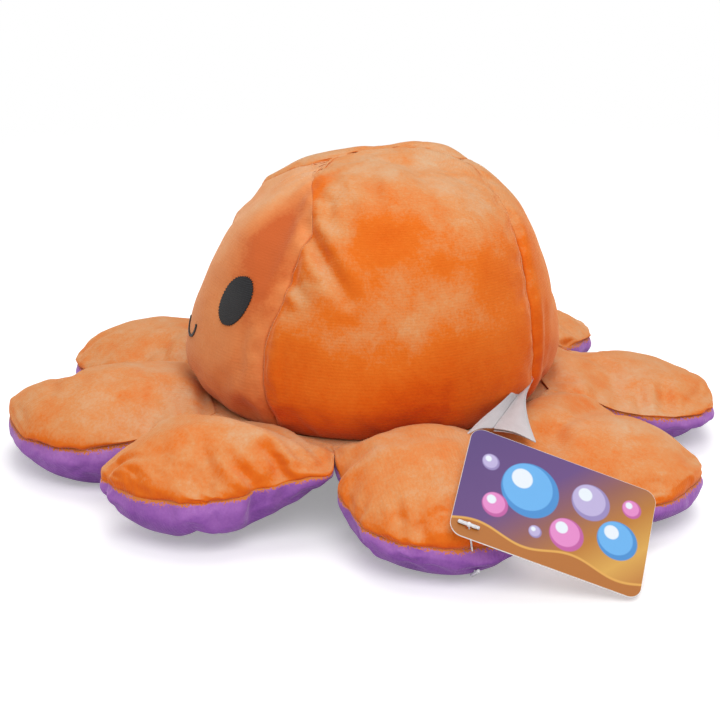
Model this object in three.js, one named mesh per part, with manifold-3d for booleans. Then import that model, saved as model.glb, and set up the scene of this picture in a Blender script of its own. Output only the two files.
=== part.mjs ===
// Reversible plush octopus: an orange outside sewn to a purple inside, eight stuffed tentacles.
// Millimetres, +Z up, the face looks along -Y, and the tentacles lie on z = 0.
import * as THREE from 'three';
import { mergeVertices } from 'three/addons/utils/BufferGeometryUtils.js';
import Module from 'manifold-3d';

const wasm = await Module();
wasm.setup();

// Fabric and clearances
const FABRIC = 2.2; // short pile plush, backing and pile together
const GAP = 0.3; // clearance between pieces that lie on each other
const SAME_POINT = 0.0001; // points closer than this are one point
const SLOPE_STEP_SHARE = 0.01; // step over which a surface's slope is taken
const SAME_RISE_SHARE = 0.0001; // how closely a height is found on a panel
const OVERRUN = 5; // how far a cutter runs past the piece it cuts

// Waist, where the head and the tentacles are sewn together
const WAIST_APOTHEM = 83; // axis to each of the eight sewn edges
const WAIST_HEIGHT = 36; // the seam between the orange and purple rings
const MOUTH_RADIUS = 60; // way into the cavity, at the purple ring
const MOUTH_SEGMENT_COUNT = 12;

// Head
const HEAD_RADIUS = 92;
const HEAD_HALF_HEIGHT = 99;
const HEAD_MIDDLE_HEIGHT = 59; // height of the widest level
const HEAD_SET_BACK = 1; // from the sewn edges to the foot of the head
const HEAD_TUCK_HEIGHT = 22; // height over which the head draws in to the waist
const HEAD_POWER = 2.2; // 2 is an ellipse, more is squarer
const CROWN_SHIFT = 8; // the seams meet behind the middle of the crown
const CROWN_DIP = 2.5;
const CROWN_DIP_RADIUS = 14;
const SEAM_DIP = 2.4; // the sewn edges of the gores sink this far
const SEAM_DIP_RADIUS = 9;
const GORE_SEAM_DEGREES = [-52.5, 43, 137, 232.5];
const GORE_NAMES = ['left_panel', 'back_panel', 'right_panel', 'face_panel'];
const HEAD_ROW_COUNT = 9;
const GORE_COLUMN_SHARES = [0, 0.07, 0.22, 0.41, 0.59, 0.78, 0.93, 1];

// Cavity lined by the second head, which is folded inside the first
const CAVITY_HEIGHT = 72; // from the waist to the top of the lining
const CAVITY_POWER = 2.6;

// Tentacles, in a frame with x outward from the toy's axis
const TENTACLE_COUNT = 8;
const FIRST_TENTACLE_DEGREES = -142;
const TENTACLE_REACH = 98; // sewn edge to tip
const SIDE_CLEARANCE = 1.8; // from a root's side to the middle between two tentacles
const FULL_HALF_WIDTH = 45;
const ROOT_SWELL = 3.4; // height of each skin over the sewn edge
const TOP_SWELL = 23; // height of the top over the side seam
const TIP_SEAM_HEIGHT = 20;
const SETTLE = 0.5; // depth to which the belly is pressed flat by the table
const SEAM_DROP_POWER = 1.6;
const WIDEST_SHARE = 0.5;
const FULL_TOP_SHARE = 0.28;
const BELLY_SHARE = 0.32;
const BELLY_POWER = 1.6;
const TIP_POWER = 2.4;
const TOP_SIDE_POWER = 2;
const TOP_ROUND_POWER = 0.62;
const BELLY_SIDE_POWER = 3.5; // flatter in the middle than the top
const BELLY_ROUND_POWER = 0.5;
const SWAY_POWER = 2;
const ROOT_BEVEL_DEGREES = 24; // the root narrows to its sewn edge, so that it can fold
const LIMB_ROW_COUNT = 9;
const LIMB_COLUMN_COUNT = 8;
// Each tentacle lies in its own way: its length, width, plumpness and how far its tip lies to one side.
const REACH_SHARES = [1.0, 1.0, 0.75, 0.86, 0.96, 0.96, 0.98, 1.0];
const WIDTH_SHARES = [1.0, 0.96, 0.96, 0.87, 0.96, 1.0, 1.0, 1.0];
const PLUMP_SHARES = [0.8, 1.06, 1.14, 1.1, 0.78, 0.66, 0.64, 0.8];
const SWAY_SHARES = [0.03, -0.2, -0.29, 0.17, 0.03, -0.04, -0.02, 0];

// Embroidery
const THREAD = 0.9; // height of the satin stitch over the pile
const EYE_HALF_WIDTH = 9.2;
const EYE_HALF_HEIGHT = 13.2;
const EYE_LEAN_DEGREES = 24;
const EYE_SPREAD_DEGREES = 23.5; // from the middle of the face
const EYE_HEIGHT = 99;
const FACE_DEGREES = -90;
const MOUTH_HALF_WIDTH = 11;
const MOUTH_DEPTH = 9.5;
const MOUTH_STROKE = 2.8;
const MOUTH_LOW_HEIGHT = 72;
const EYE_RING_COUNT = 3;
const EYE_SIDE_COUNT = 20;
const MOUTH_STEP_COUNT = 12;
const STROKE_EDGE_SHARES = [-0.5, 0.5];
const INNER_FACE_SHARE = 0.62; // the second face is smaller, to fit the lining
const INNER_EYE_HEIGHT = 84;
const INNER_MOUTH_HEIGHT = 66;

// Care label sewn into a back seam, upright at the seam and laid over the tentacles at its free end
const LABEL_SEAM_INDEX = 1;
const LABEL_THICKNESS = 0.8;
const LABEL_SEAM_HEIGHT = 54; // middle of the sewn edge
const LABEL_SEWN_WIDTH = 13;
const LABEL_LENGTH = 46;
const LABEL_LEAN = 7; // outward, over its length
const LABEL_FREE_WIDTH = 28;
const LABEL_FREE_SKEW = 14; // how much further the inner corner reaches
const LABEL_ARCH = 5;
const LABEL_LEAN_POWER = 4;
const LABEL_STEP_COUNT = 6;
const LABEL_ACROSS_SHARES = [-0.5, 0, 0.5];

// Hang tag and the pin that holds it to the front tentacle
const TAG_WIDTH = 89;
const TAG_HEIGHT = 55.5;
const TAG_CARD = 0.6;
const TAG_CORNER = 6;
const TAG_CORNER_STEP_COUNT = 6;
const TAG_HOLE = 1.8;
const TAG_HOLE_INSET = 8;
const TAG_HOLE_RISE = 6;
const TAG_HOLE_PAST_TIP = 1.7; // the hole stands clear of the tentacle's tip
const TAG_HOLE_ASIDE = -5.1;
const TAG_HOLE_LIFT = 13.7; // over the seam at the tip
const TAG_TURN_DEGREES = 70.7;
const TAG_SLOPE_DEGREES = 21.2;
const TAG_LEAN_DEGREES = 35.2;
const TAGGED_LIMB_INDEX = 3;
const PIN_RADIUS = 0.6;
const PIN_BAR_RADIUS = 0.8;
const PIN_BAR_LENGTH = 10;
const PIN_BAR_GAP = 0.6; // from the belly to the bar under it
const PIN_SIDE_COUNT = 8;
const PIN_ALONG_SHARE = 0.92; // where the pin leaves the belly of its tentacle
const PIN_ACROSS_SHARE = 0.1;

const WAIST_TOP = WAIST_HEIGHT + GAP / 2 + FABRIC;
const HEAD_BASE_HEIGHT = WAIST_TOP + GAP;
const HEAD_BASE_RADIUS = WAIST_APOTHEM - HEAD_SET_BACK;
const HEAD_TOP_HEIGHT = HEAD_MIDDLE_HEIGHT + HEAD_HALF_HEIGHT;
const FULL_TURN = 2 * Math.PI;
const TENTACLE_STEP = FULL_TURN / TENTACLE_COUNT;
const UP_Y = new THREE.Vector3(0, 1, 0);
const UP_Z = new THREE.Vector3(0, 0, 1);

const ORANGE = plush('#e88236');
const PURPLE = plush('#8040ac');
const FILLING = plush('#f1efe9');
const BLACK_THREAD = new THREE.MeshStandardMaterial({ color: '#2b2b2d', roughness: 0.55, metalness: 0 });
const SATIN = new THREE.MeshStandardMaterial({ color: '#dcd8dc', roughness: 0.45, metalness: 0 });
const CARD = new THREE.MeshStandardMaterial({ color: '#7a4f8f', roughness: 0.3, metalness: 0 });
const NYLON = new THREE.MeshStandardMaterial({ color: '#e9e9ee', roughness: 0.35, metalness: 0 });

function plush(color) {
  return new THREE.MeshStandardMaterial({ color, roughness: 0.95, metalness: 0 });
}

function radians(degrees) {
  return THREE.MathUtils.degToRad(degrees);
}

// Closed meshes between two point grids

function pushTriangle(points, a, b, c) {
  const open = a.distanceTo(b) > SAME_POINT && b.distanceTo(c) > SAME_POINT && c.distanceTo(a) > SAME_POINT;
  if (open) points.push(a, b, c);
}

function pushQuad(points, a, b, c, d) {
  pushTriangle(points, a, b, c);
  pushTriangle(points, a, c, d);
}

function pushGrid(points, grid, flipped) {
  for (let i = 0; i + 1 < grid.length; i += 1) {
    for (let j = 0; j + 1 < grid[i].length; j += 1) {
      const [a, b, c, d] = [grid[i][j], grid[i][j + 1], grid[i + 1][j + 1], grid[i + 1][j]];
      if (flipped) pushQuad(points, a, d, c, b);
      else pushQuad(points, a, b, c, d);
    }
  }
}

function pushRim(points, outerEdge, innerEdge) {
  for (let k = 0; k + 1 < outerEdge.length; k += 1) {
    pushQuad(points, outerEdge[k], innerEdge[k], innerEdge[k + 1], outerEdge[k + 1]);
  }
}

function signedVolume(points) {
  let sum = 0;
  for (let k = 0; k < points.length; k += 3) {
    sum += points[k].dot(points[k + 1].clone().cross(points[k + 2]));
  }
  return sum;
}

function geometryFromTriangles(points) {
  if (signedVolume(points) < 0) points.reverse();
  return new THREE.BufferGeometry().setFromPoints(points);
}

function closedBetween(outer, inner, wraps = false) {
  const points = [];
  const last = outer.length - 1;
  pushGrid(points, outer, false);
  pushGrid(points, inner, true);
  pushRim(points, outer[0], inner[0]);
  pushRim(points, outer[last].toReversed(), inner[last].toReversed());
  if (!wraps) {
    const column = (grid, j) => grid.map((row) => row.at(j));
    pushRim(points, column(outer, 0).reverse(), column(inner, 0).reverse());
    pushRim(points, column(outer, -1), column(inner, -1));
  }
  return geometryFromTriangles(points);
}

function gridOf(rows, columns, pointAt) {
  return rows.map((row) => columns.map((column) => pointAt(row, column)));
}

function evenShares(count) {
  return Array.from({ length: count + 1 }, (_, k) => k / count);
}

// Booleans

function solidOf(geometry) {
  const bare = geometry.index ? geometry.toNonIndexed() : geometry.clone();
  bare.deleteAttribute('normal');
  bare.deleteAttribute('uv');
  const merged = mergeVertices(bare);
  return new wasm.Manifold(new wasm.Mesh({
    numProp: 3,
    vertProperties: new Float32Array(merged.attributes.position.array),
    triVerts: new Uint32Array(merged.index.array),
  }));
}

function geometryOf(solid) {
  const mesh = solid.getMesh();
  const geometry = new THREE.BufferGeometry();
  geometry.setAttribute('position', new THREE.BufferAttribute(new Float32Array(mesh.vertProperties), 3));
  geometry.setIndex(new THREE.BufferAttribute(new Uint32Array(mesh.triVerts), 1));
  return geometry.toNonIndexed();
}

// Head and lining

function powerArc(angle, power) {
  const share = 2 / power;
  return {
    across: Math.max(0, Math.cos(angle)) ** share,
    up: Math.sign(angle) * Math.abs(Math.sin(angle)) ** share,
  };
}

function seamDip(heading, radius) {
  const turns = GORE_SEAM_DEGREES.map((seam) => Math.cos(heading - radians(seam)));
  const away = radius * Math.acos(Math.min(1, Math.max(...turns)));
  return SEAM_DIP * Math.exp(-((away / SEAM_DIP_RADIUS) ** 2));
}

// rise runs from 0 at the waist to 1 at the crown, inset goes in from the outside
function headPoint(heading, rise, inset) {
  const radius = HEAD_RADIUS - inset;
  const halfHeight = HEAD_HALF_HEIGHT - inset;
  const below = (HEAD_MIDDLE_HEIGHT - HEAD_BASE_HEIGHT) / halfHeight;
  const lowest = -Math.asin(below ** (HEAD_POWER / 2));
  const { across, up } = powerArc(lowest + (Math.PI / 2 - lowest) * rise, HEAD_POWER);
  const height = HEAD_MIDDLE_HEIGHT + halfHeight * up;
  const lift = (height - HEAD_BASE_HEIGHT) / HEAD_TUCK_HEIGHT;
  const baseRadius = radius * powerArc(lowest, HEAD_POWER).across;
  const tuck = (baseRadius + inset - HEAD_BASE_RADIUS) * Math.max(0, 1 - lift) ** 2;
  const smooth = radius * across - tuck;
  const distance = rise < 1 ? Math.max(0, smooth - seamDip(heading, smooth)) : 0;
  const crownShare = (height - HEAD_BASE_HEIGHT) / (HEAD_TOP_HEIGHT - HEAD_BASE_HEIGHT);
  const dip = CROWN_DIP * Math.exp(-((distance / CROWN_DIP_RADIUS) ** 2));
  return new THREE.Vector3(
    distance * Math.cos(heading),
    distance * Math.sin(heading) + CROWN_SHIFT * crownShare ** 2,
    height - dip,
  );
}

// The lining's visible side is at inset 0 and its stuffed side lies outside it
function liningPoint(heading, rise, outset) {
  const { across, up } = powerArc((Math.PI / 2) * rise, CAVITY_POWER);
  const distance = rise < 1 ? (MOUTH_RADIUS + outset) * across : 0;
  return new THREE.Vector3(
    distance * Math.cos(heading),
    distance * Math.sin(heading),
    HEAD_BASE_HEIGHT + (CAVITY_HEIGHT + outset) * up,
  );
}

function goreEdges(index) {
  const start = radians(GORE_SEAM_DEGREES[index]);
  const following = GORE_SEAM_DEGREES[(index + 1) % GORE_SEAM_DEGREES.length];
  const span = THREE.MathUtils.euclideanModulo(radians(following) - start, FULL_TURN);
  return { start, span };
}

function goreHeadings(index) {
  const { start, span } = goreEdges(index);
  return GORE_COLUMN_SHARES.map((share) => start + span * share);
}

// A gore is moved out along its middle until its sewn edges clear the next gores
function goreGeometry(index, surface, visible, hidden) {
  const { start, span } = goreEdges(index);
  const clear = GAP / 2 / Math.sin(span / 2);
  const middle = start + span / 2;
  const rows = evenShares(HEAD_ROW_COUNT);
  const headings = goreHeadings(index);
  const outer = gridOf(rows, headings, (rise, heading) => surface(heading, rise, visible));
  const inner = gridOf(rows, headings, (rise, heading) => surface(heading, rise, hidden));
  const geometry = closedBetween(outer, inner);
  return geometry.translate(clear * Math.cos(middle), clear * Math.sin(middle), 0);
}

function headFillingGeometry() {
  const rows = evenShares(HEAD_ROW_COUNT);
  const headings = GORE_SEAM_DEGREES.flatMap((_, index) => goreHeadings(index).slice(0, -1));
  headings.push(headings[0]);
  const inset = FABRIC + GAP;
  const outer = gridOf(rows, headings, (rise, heading) => headPoint(heading, rise, inset));
  const inner = gridOf(rows, headings, (rise, heading) => liningPoint(heading, rise, inset));
  return closedBetween(outer, inner, true);
}

function waistRingGeometry(lowHeight) {
  const shape = new THREE.Shape();
  const corner = WAIST_APOTHEM / Math.cos(TENTACLE_STEP / 2);
  for (let k = 0; k < TENTACLE_COUNT; k += 1) {
    const heading = radians(FIRST_TENTACLE_DEGREES) + (k + 0.5) * TENTACLE_STEP;
    const [x, y] = [corner * Math.cos(heading), corner * Math.sin(heading)];
    if (k === 0) shape.moveTo(x, y);
    else shape.lineTo(x, y);
  }
  shape.closePath();
  shape.holes.push(new THREE.Path().absarc(0, 0, MOUTH_RADIUS, 0, FULL_TURN, true));
  const geometry = new THREE.ExtrudeGeometry(shape, { depth: FABRIC, bevelEnabled: false, curveSegments: MOUTH_SEGMENT_COUNT });
  return geometry.translate(0, 0, lowHeight);
}

// Tentacles

function tipRound(along) {
  const past = Math.max(0, (along - WIDEST_SHARE) / (1 - WIDEST_SHARE));
  return Math.max(0, 1 - past ** TIP_POWER) ** (1 / TIP_POWER);
}

function swell(from, to, share) {
  return from + (to - from) * Math.sin((Math.PI / 2) * Math.min(1, share));
}

function limbLines(limb, along) {
  const seam = TIP_SEAM_HEIGHT + (WAIST_HEIGHT - TIP_SEAM_HEIGHT) * (1 - along) ** SEAM_DROP_POWER;
  const rootFloor = WAIST_HEIGHT - ROOT_SWELL + SETTLE;
  const floor = rootFloor * Math.max(0, 1 - along / BELLY_SHARE) ** BELLY_POWER - SETTLE;
  const sector = (WAIST_APOTHEM + TENTACLE_REACH * along) * Math.tan(TENTACLE_STEP / 2) - SIDE_CLEARANCE;
  return {
    seam,
    half: Math.min(sector, FULL_HALF_WIDTH * WIDTH_SHARES[limb]),
    top: swell(ROOT_SWELL, TOP_SWELL * PLUMP_SHARES[limb], along / FULL_TOP_SHARE),
    belly: seam - floor,
  };
}

// side is 1 on the orange top and -1 on the purple belly, across runs from -1 to 1
function limbPoint(limb, side, along, across, inset, seamGap) {
  const lines = limbLines(limb, along);
  const round = tipRound(along);
  const reach = TENTACLE_REACH * REACH_SHARES[limb];
  const half = round * (lines.half - inset);
  const full = round * ((side > 0 ? lines.top : lines.belly) - inset);
  const sidePower = side > 0 ? TOP_SIDE_POWER : BELLY_SIDE_POWER;
  const roundPower = side > 0 ? TOP_ROUND_POWER : BELLY_ROUND_POWER;
  const arch = Math.max(0, 1 - Math.abs(across) ** sidePower) ** roundPower;
  const height = lines.seam + side * (seamGap + full * arch);
  const bevel = along > 0 ? 0 : Math.abs(height - WAIST_HEIGHT) * Math.tan(radians(ROOT_BEVEL_DEGREES));
  return new THREE.Vector3(
    WAIST_APOTHEM + GAP + bevel + (reach - inset) * along,
    half * across + reach * SWAY_SHARES[limb] * along ** SWAY_POWER,
    Math.max(height, inset),
  );
}

function limbGrid(limb, side, inset, seamGap) {
  const rows = evenShares(LIMB_ROW_COUNT).map((share) => Math.sin((Math.PI / 2) * share));
  const columns = evenShares(LIMB_COLUMN_COUNT).map((share) => -Math.cos(Math.PI * share));
  return gridOf(rows, columns, (along, across) => limbPoint(limb, side, along, across, inset, seamGap));
}

function limbSkinGeometry(limb, side) {
  return closedBetween(limbGrid(limb, side, 0, GAP / 2), limbGrid(limb, side, FABRIC, GAP / 2));
}

function limbFillingGeometry(limb) {
  const inset = FABRIC + GAP;
  return closedBetween(limbGrid(limb, 1, inset, 0), limbGrid(limb, -1, inset, 0));
}

function limbHeading(limb) {
  return radians(FIRST_TENTACLE_DEGREES) + limb * TENTACLE_STEP;
}

// Embroidery follows the surface that it is sewn on

function riseAtHeight(surface, heading, height) {
  let [low, high] = [0, 1];
  while (high - low > SAME_RISE_SHARE) {
    const middle = (low + high) / 2;
    if (surface(heading, middle, 0).z < height) low = middle;
    else high = middle;
  }
  return low;
}

// depth goes in from the side that shows, so stitches lie at a depth under 0
function stitchPoint(surface, depth, heading, height) {
  return surface(heading, riseAtHeight(surface, heading, height), depth);
}

function eyeGeometry(surface, side, eyeHeight, share, lean) {
  const low = stitchPoint(surface, 0, radians(FACE_DEGREES), eyeHeight);
  const radius = Math.hypot(low.x, low.y);
  const heading = radians(FACE_DEGREES + side * EYE_SPREAD_DEGREES);
  const tilt = side * radians(lean);
  const spot = (ring, turn, away) => {
    const x = share * EYE_HALF_WIDTH * ring * Math.cos(turn);
    const y = share * EYE_HALF_HEIGHT * ring * Math.sin(turn);
    const across = x * Math.cos(tilt) + y * Math.sin(tilt);
    const up = y * Math.cos(tilt) - x * Math.sin(tilt);
    return stitchPoint(surface, away, heading + across / radius, eyeHeight + up);
  };
  const rings = evenShares(EYE_RING_COUNT);
  const turns = evenShares(EYE_SIDE_COUNT).map((part) => FULL_TURN * (part % 1));
  const layer = (away) => gridOf(rings, turns, (ring, turn) => spot(ring, turn, -away));
  return closedBetween(layer(GAP + THREAD), layer(GAP), true);
}

function mouthGeometry(surface, lowHeight, share, smile) {
  const low = stitchPoint(surface, 0, radians(FACE_DEGREES), lowHeight);
  const radius = Math.hypot(low.x, low.y);
  const half = share * MOUTH_HALF_WIDTH;
  const depth = share * MOUTH_DEPTH;
  const stroke = share * MOUTH_STROKE;
  const spot = (step, edge, away) => {
    const bend = (Math.PI / 2) * step;
    const x = (half + stroke * edge) * Math.sin(bend);
    const fall = (depth + stroke * edge) * Math.cos(bend);
    const height = lowHeight + depth / 2 + smile * (depth / 2 - fall);
    return stitchPoint(surface, away, radians(FACE_DEGREES) + x / radius, height);
  };
  const steps = evenShares(MOUTH_STEP_COUNT).map((part) => 2 * part - 1);
  const layer = (away) => gridOf(steps, STROKE_EDGE_SHARES, (step, edge) => spot(step, edge, -away));
  return closedBetween(layer(GAP + THREAD), layer(GAP));
}

// Care label, in a frame with x along it and y outward from the head

function labelSeamPoint(height) {
  const heading = radians(GORE_SEAM_DEGREES[LABEL_SEAM_INDEX]);
  return headPoint(heading, riseAtHeight(headPoint, heading, height), 0);
}

function labelSeamReach(height) {
  const seam = labelSeamPoint(height);
  return Math.hypot(seam.x, seam.y);
}

// The sewn edge follows the seam, and the free end is turned flat
function labelPoint(along, across) {
  const turned = across * along;
  const drop = across * LABEL_SEWN_WIDTH;
  const bulge = labelSeamReach(LABEL_SEAM_HEIGHT - drop) - labelSeamReach(LABEL_SEAM_HEIGHT);
  return new THREE.Vector3(
    LABEL_LENGTH * along - LABEL_FREE_SKEW * turned,
    LABEL_LEAN * (1 - (1 - along) ** LABEL_LEAN_POWER) + LABEL_FREE_WIDTH * turned + bulge * (1 - along),
    LABEL_ARCH * Math.sin(Math.PI * along) - drop * (1 - along),
  );
}

function labelSide(depth) {
  return gridOf(evenShares(LABEL_STEP_COUNT), LABEL_ACROSS_SHARES, (along, across) => {
    const point = labelPoint(along, across);
    const ahead = labelPoint(along + SLOPE_STEP_SHARE, across).sub(point);
    const aside = labelPoint(along, across + SLOPE_STEP_SHARE).sub(point);
    return point.addScaledVector(ahead.cross(aside).normalize(), depth);
  });
}

function addLabel() {
  const heading = radians(GORE_SEAM_DEGREES[LABEL_SEAM_INDEX]);
  const seam = labelSeamPoint(LABEL_SEAM_HEIGHT);
  const label = addMesh(octopus, 'care_label', closedBetween(labelSide(LABEL_THICKNESS), labelSide(0)), SATIN);
  label.rotation.z = heading - Math.PI / 2;
  const clear = GAP + LABEL_THICKNESS;
  label.position.set(seam.x + clear * Math.cos(heading), seam.y + clear * Math.sin(heading), seam.z);
}

// Hang tag and its pin

function tagHolePlace() {
  return new THREE.Vector3(TAG_HOLE_INSET - TAG_WIDTH / 2, TAG_HOLE_RISE - TAG_HEIGHT / 2, TAG_CARD / 2);
}

// The hole stands past the tip of the tentacle that carries the tag
function tagHoleCentre() {
  const centre = limbPoint(TAGGED_LIMB_INDEX, 1, 1, 0, 0, 0);
  centre.add(new THREE.Vector3(TAG_HOLE_PAST_TIP, TAG_HOLE_ASIDE, TAG_HOLE_LIFT));
  return centre.applyAxisAngle(UP_Z, limbHeading(TAGGED_LIMB_INDEX));
}

function tagMatrix() {
  const angles = [TAG_LEAN_DEGREES, TAG_SLOPE_DEGREES, TAG_TURN_DEGREES].map(radians);
  const matrix = new THREE.Matrix4().makeRotationFromEuler(new THREE.Euler(...angles, 'ZYX'));
  const hole = tagHolePlace().applyMatrix4(matrix);
  return matrix.setPosition(tagHoleCentre().sub(hole));
}

function tagGeometry() {
  const [x, y, r] = [TAG_WIDTH / 2, TAG_HEIGHT / 2, TAG_CORNER];
  const shape = new THREE.Shape();
  shape.moveTo(-x + r, -y);
  shape.lineTo(x - r, -y);
  shape.absarc(x - r, -y + r, r, -Math.PI / 2, 0, false);
  shape.lineTo(x, y - r);
  shape.absarc(x - r, y - r, r, 0, Math.PI / 2, false);
  shape.lineTo(-x + r, y);
  shape.absarc(-x + r, y - r, r, Math.PI / 2, Math.PI, false);
  shape.lineTo(-x, -y + r);
  shape.absarc(-x + r, -y + r, r, Math.PI, 1.5 * Math.PI, false);
  const hole = tagHolePlace();
  shape.holes.push(new THREE.Path().absarc(hole.x, hole.y, TAG_HOLE, 0, FULL_TURN, true));
  return new THREE.ExtrudeGeometry(shape, { depth: TAG_CARD, bevelEnabled: false, curveSegments: TAG_CORNER_STEP_COUNT });
}

function rodBetween(start, end, radius) {
  const along = end.clone().sub(start);
  const rod = new THREE.CylinderGeometry(radius, radius, along.length(), PIN_SIDE_COUNT);
  rod.applyQuaternion(new THREE.Quaternion().setFromUnitVectors(UP_Y, along.clone().normalize()));
  return rod.translate(...start.clone().add(end).divideScalar(2).toArray());
}

function rodAround(middle, direction, length, radius) {
  const half = direction.clone().setLength(length / 2);
  return rodBetween(middle.clone().sub(half), middle.clone().add(half), radius);
}

function bellyPoint(along, across) {
  const point = limbPoint(TAGGED_LIMB_INDEX, -1, along, across, 0, GAP / 2);
  return point.applyAxisAngle(UP_Z, limbHeading(TAGGED_LIMB_INDEX));
}

// The pin runs from a bar on the card, through the card's hole and the tentacle, to a bar under the belly
function pinEnds() {
  const axes = [new THREE.Vector3(), new THREE.Vector3(), new THREE.Vector3()];
  tagMatrix().extractBasis(...axes);
  const offCard = TAG_CARD / 2 + GAP + PIN_BAR_RADIUS;
  const foot = bellyPoint(PIN_ALONG_SHARE, PIN_ACROSS_SHARE);
  const outward = bellyPoint(PIN_ALONG_SHARE + SLOPE_STEP_SHARE, PIN_ACROSS_SHARE).sub(foot).normalize();
  const sideways = bellyPoint(PIN_ALONG_SHARE, PIN_ACROSS_SHARE + SLOPE_STEP_SHARE).sub(foot);
  const offBelly = sideways.cross(outward).normalize();
  return {
    front: tagHoleCentre().addScaledVector(axes[2], offCard),
    frontAxis: axes[0],
    back: foot.addScaledVector(offBelly, PIN_BAR_RADIUS + PIN_BAR_GAP),
    backAxis: outward,
  };
}

function pinGeometry() {
  const { front, frontAxis, back, backAxis } = pinEnds();
  return geometryOf(solidOf(rodBetween(front, back, PIN_RADIUS))
    .add(solidOf(rodAround(front, frontAxis, PIN_BAR_LENGTH, PIN_BAR_RADIUS)))
    .add(solidOf(rodAround(back, backAxis, PIN_BAR_LENGTH, PIN_BAR_RADIUS))));
}

function cutPinHole(geometry) {
  const { front, back } = pinEnds();
  const end = back.clone().add(back.clone().sub(front).setLength(OVERRUN));
  const cutter = rodBetween(front, end, PIN_RADIUS + GAP).rotateZ(-limbHeading(TAGGED_LIMB_INDEX));
  return geometryOf(solidOf(geometry).subtract(solidOf(cutter)));
}

// Assembly

const octopus = new THREE.Group();
octopus.name = 'plush_octopus';

function addMesh(parent, name, geometry, material) {
  const mesh = new THREE.Mesh(geometry, material);
  mesh.name = name;
  parent.add(mesh);
  return mesh;
}

function addHead() {
  const head = new THREE.Group();
  octopus.add(head);
  GORE_NAMES.forEach((name, index) => {
    addMesh(head, `head_${name}`, goreGeometry(index, headPoint, 0, FABRIC), ORANGE);
    addMesh(head, `lining_${name}`, goreGeometry(index, liningPoint, 0, FABRIC), PURPLE);
  });
  addMesh(head, 'head_filling', headFillingGeometry(), FILLING);
  addMesh(head, 'orange_waist_ring', waistRingGeometry(WAIST_HEIGHT + GAP / 2), ORANGE);
  addMesh(head, 'purple_waist_ring', waistRingGeometry(WAIST_HEIGHT - GAP / 2 - FABRIC), PURPLE);
}

function addFaces() {
  [['left', 1], ['right', -1]].forEach(([name, side]) => {
    const eye = eyeGeometry(headPoint, side, EYE_HEIGHT, 1, EYE_LEAN_DEGREES);
    addMesh(octopus, `eye_${name}`, eye, BLACK_THREAD);
    const innerEye = eyeGeometry(liningPoint, side, INNER_EYE_HEIGHT, INNER_FACE_SHARE, -EYE_LEAN_DEGREES);
    addMesh(octopus, `lining_eye_${name}`, innerEye, BLACK_THREAD);
  });
  addMesh(octopus, 'mouth', mouthGeometry(headPoint, MOUTH_LOW_HEIGHT, 1, 1), BLACK_THREAD);
  const innerMouth = mouthGeometry(liningPoint, INNER_MOUTH_HEIGHT, INNER_FACE_SHARE, -1);
  addMesh(octopus, 'lining_mouth', innerMouth, BLACK_THREAD);
}

function addTentacle(limb) {
  const tentacle = new THREE.Group();
  tentacle.rotation.z = limbHeading(limb);
  octopus.add(tentacle);
  const name = `tentacle_${limb + 1}`;
  const pinned = (geometry) => (limb === TAGGED_LIMB_INDEX ? cutPinHole(geometry) : geometry);
  addMesh(tentacle, `${name}_top`, pinned(limbSkinGeometry(limb, 1)), ORANGE);
  addMesh(tentacle, `${name}_bottom`, pinned(limbSkinGeometry(limb, -1)), PURPLE);
  addMesh(tentacle, `${name}_filling`, pinned(limbFillingGeometry(limb)), FILLING);
}

addHead();
addFaces();
for (let limb = 0; limb < TENTACLE_COUNT; limb += 1) addTentacle(limb);
addLabel();
addMesh(octopus, 'hang_tag', tagGeometry(), CARD).applyMatrix4(tagMatrix());
addMesh(octopus, 'tag_pin', pinGeometry(), NYLON);

// The origin is on the table, under the middle of the toy's bounding box
const box = new THREE.Box3().setFromObject(octopus, true);
const middle = box.getCenter(new THREE.Vector3());
octopus.position.set(-middle.x, -middle.y, -box.min.z);

export default octopus;
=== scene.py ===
"""Reversible plush octopus: the sewn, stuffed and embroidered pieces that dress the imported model."""
import math

import bpy
import numpy as np
from mathutils import Matrix, Vector, noise
from mathutils.bvhtree import BVHTree


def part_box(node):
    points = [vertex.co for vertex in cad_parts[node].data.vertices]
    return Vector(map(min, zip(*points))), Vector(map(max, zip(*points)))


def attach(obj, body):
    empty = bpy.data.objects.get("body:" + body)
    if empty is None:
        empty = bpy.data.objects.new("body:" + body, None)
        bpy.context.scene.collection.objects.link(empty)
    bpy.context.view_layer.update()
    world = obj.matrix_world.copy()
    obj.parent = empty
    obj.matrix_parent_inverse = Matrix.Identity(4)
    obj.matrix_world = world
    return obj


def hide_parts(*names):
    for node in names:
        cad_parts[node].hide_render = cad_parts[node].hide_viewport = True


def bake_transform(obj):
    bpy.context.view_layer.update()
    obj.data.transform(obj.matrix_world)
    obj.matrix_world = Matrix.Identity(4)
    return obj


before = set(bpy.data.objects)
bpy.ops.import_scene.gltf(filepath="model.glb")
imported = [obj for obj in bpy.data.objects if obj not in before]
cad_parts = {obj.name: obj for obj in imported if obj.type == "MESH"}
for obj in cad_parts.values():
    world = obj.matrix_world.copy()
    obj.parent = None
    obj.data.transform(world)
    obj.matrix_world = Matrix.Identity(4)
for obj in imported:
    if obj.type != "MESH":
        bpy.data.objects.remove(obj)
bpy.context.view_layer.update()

MM = 0.001

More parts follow.
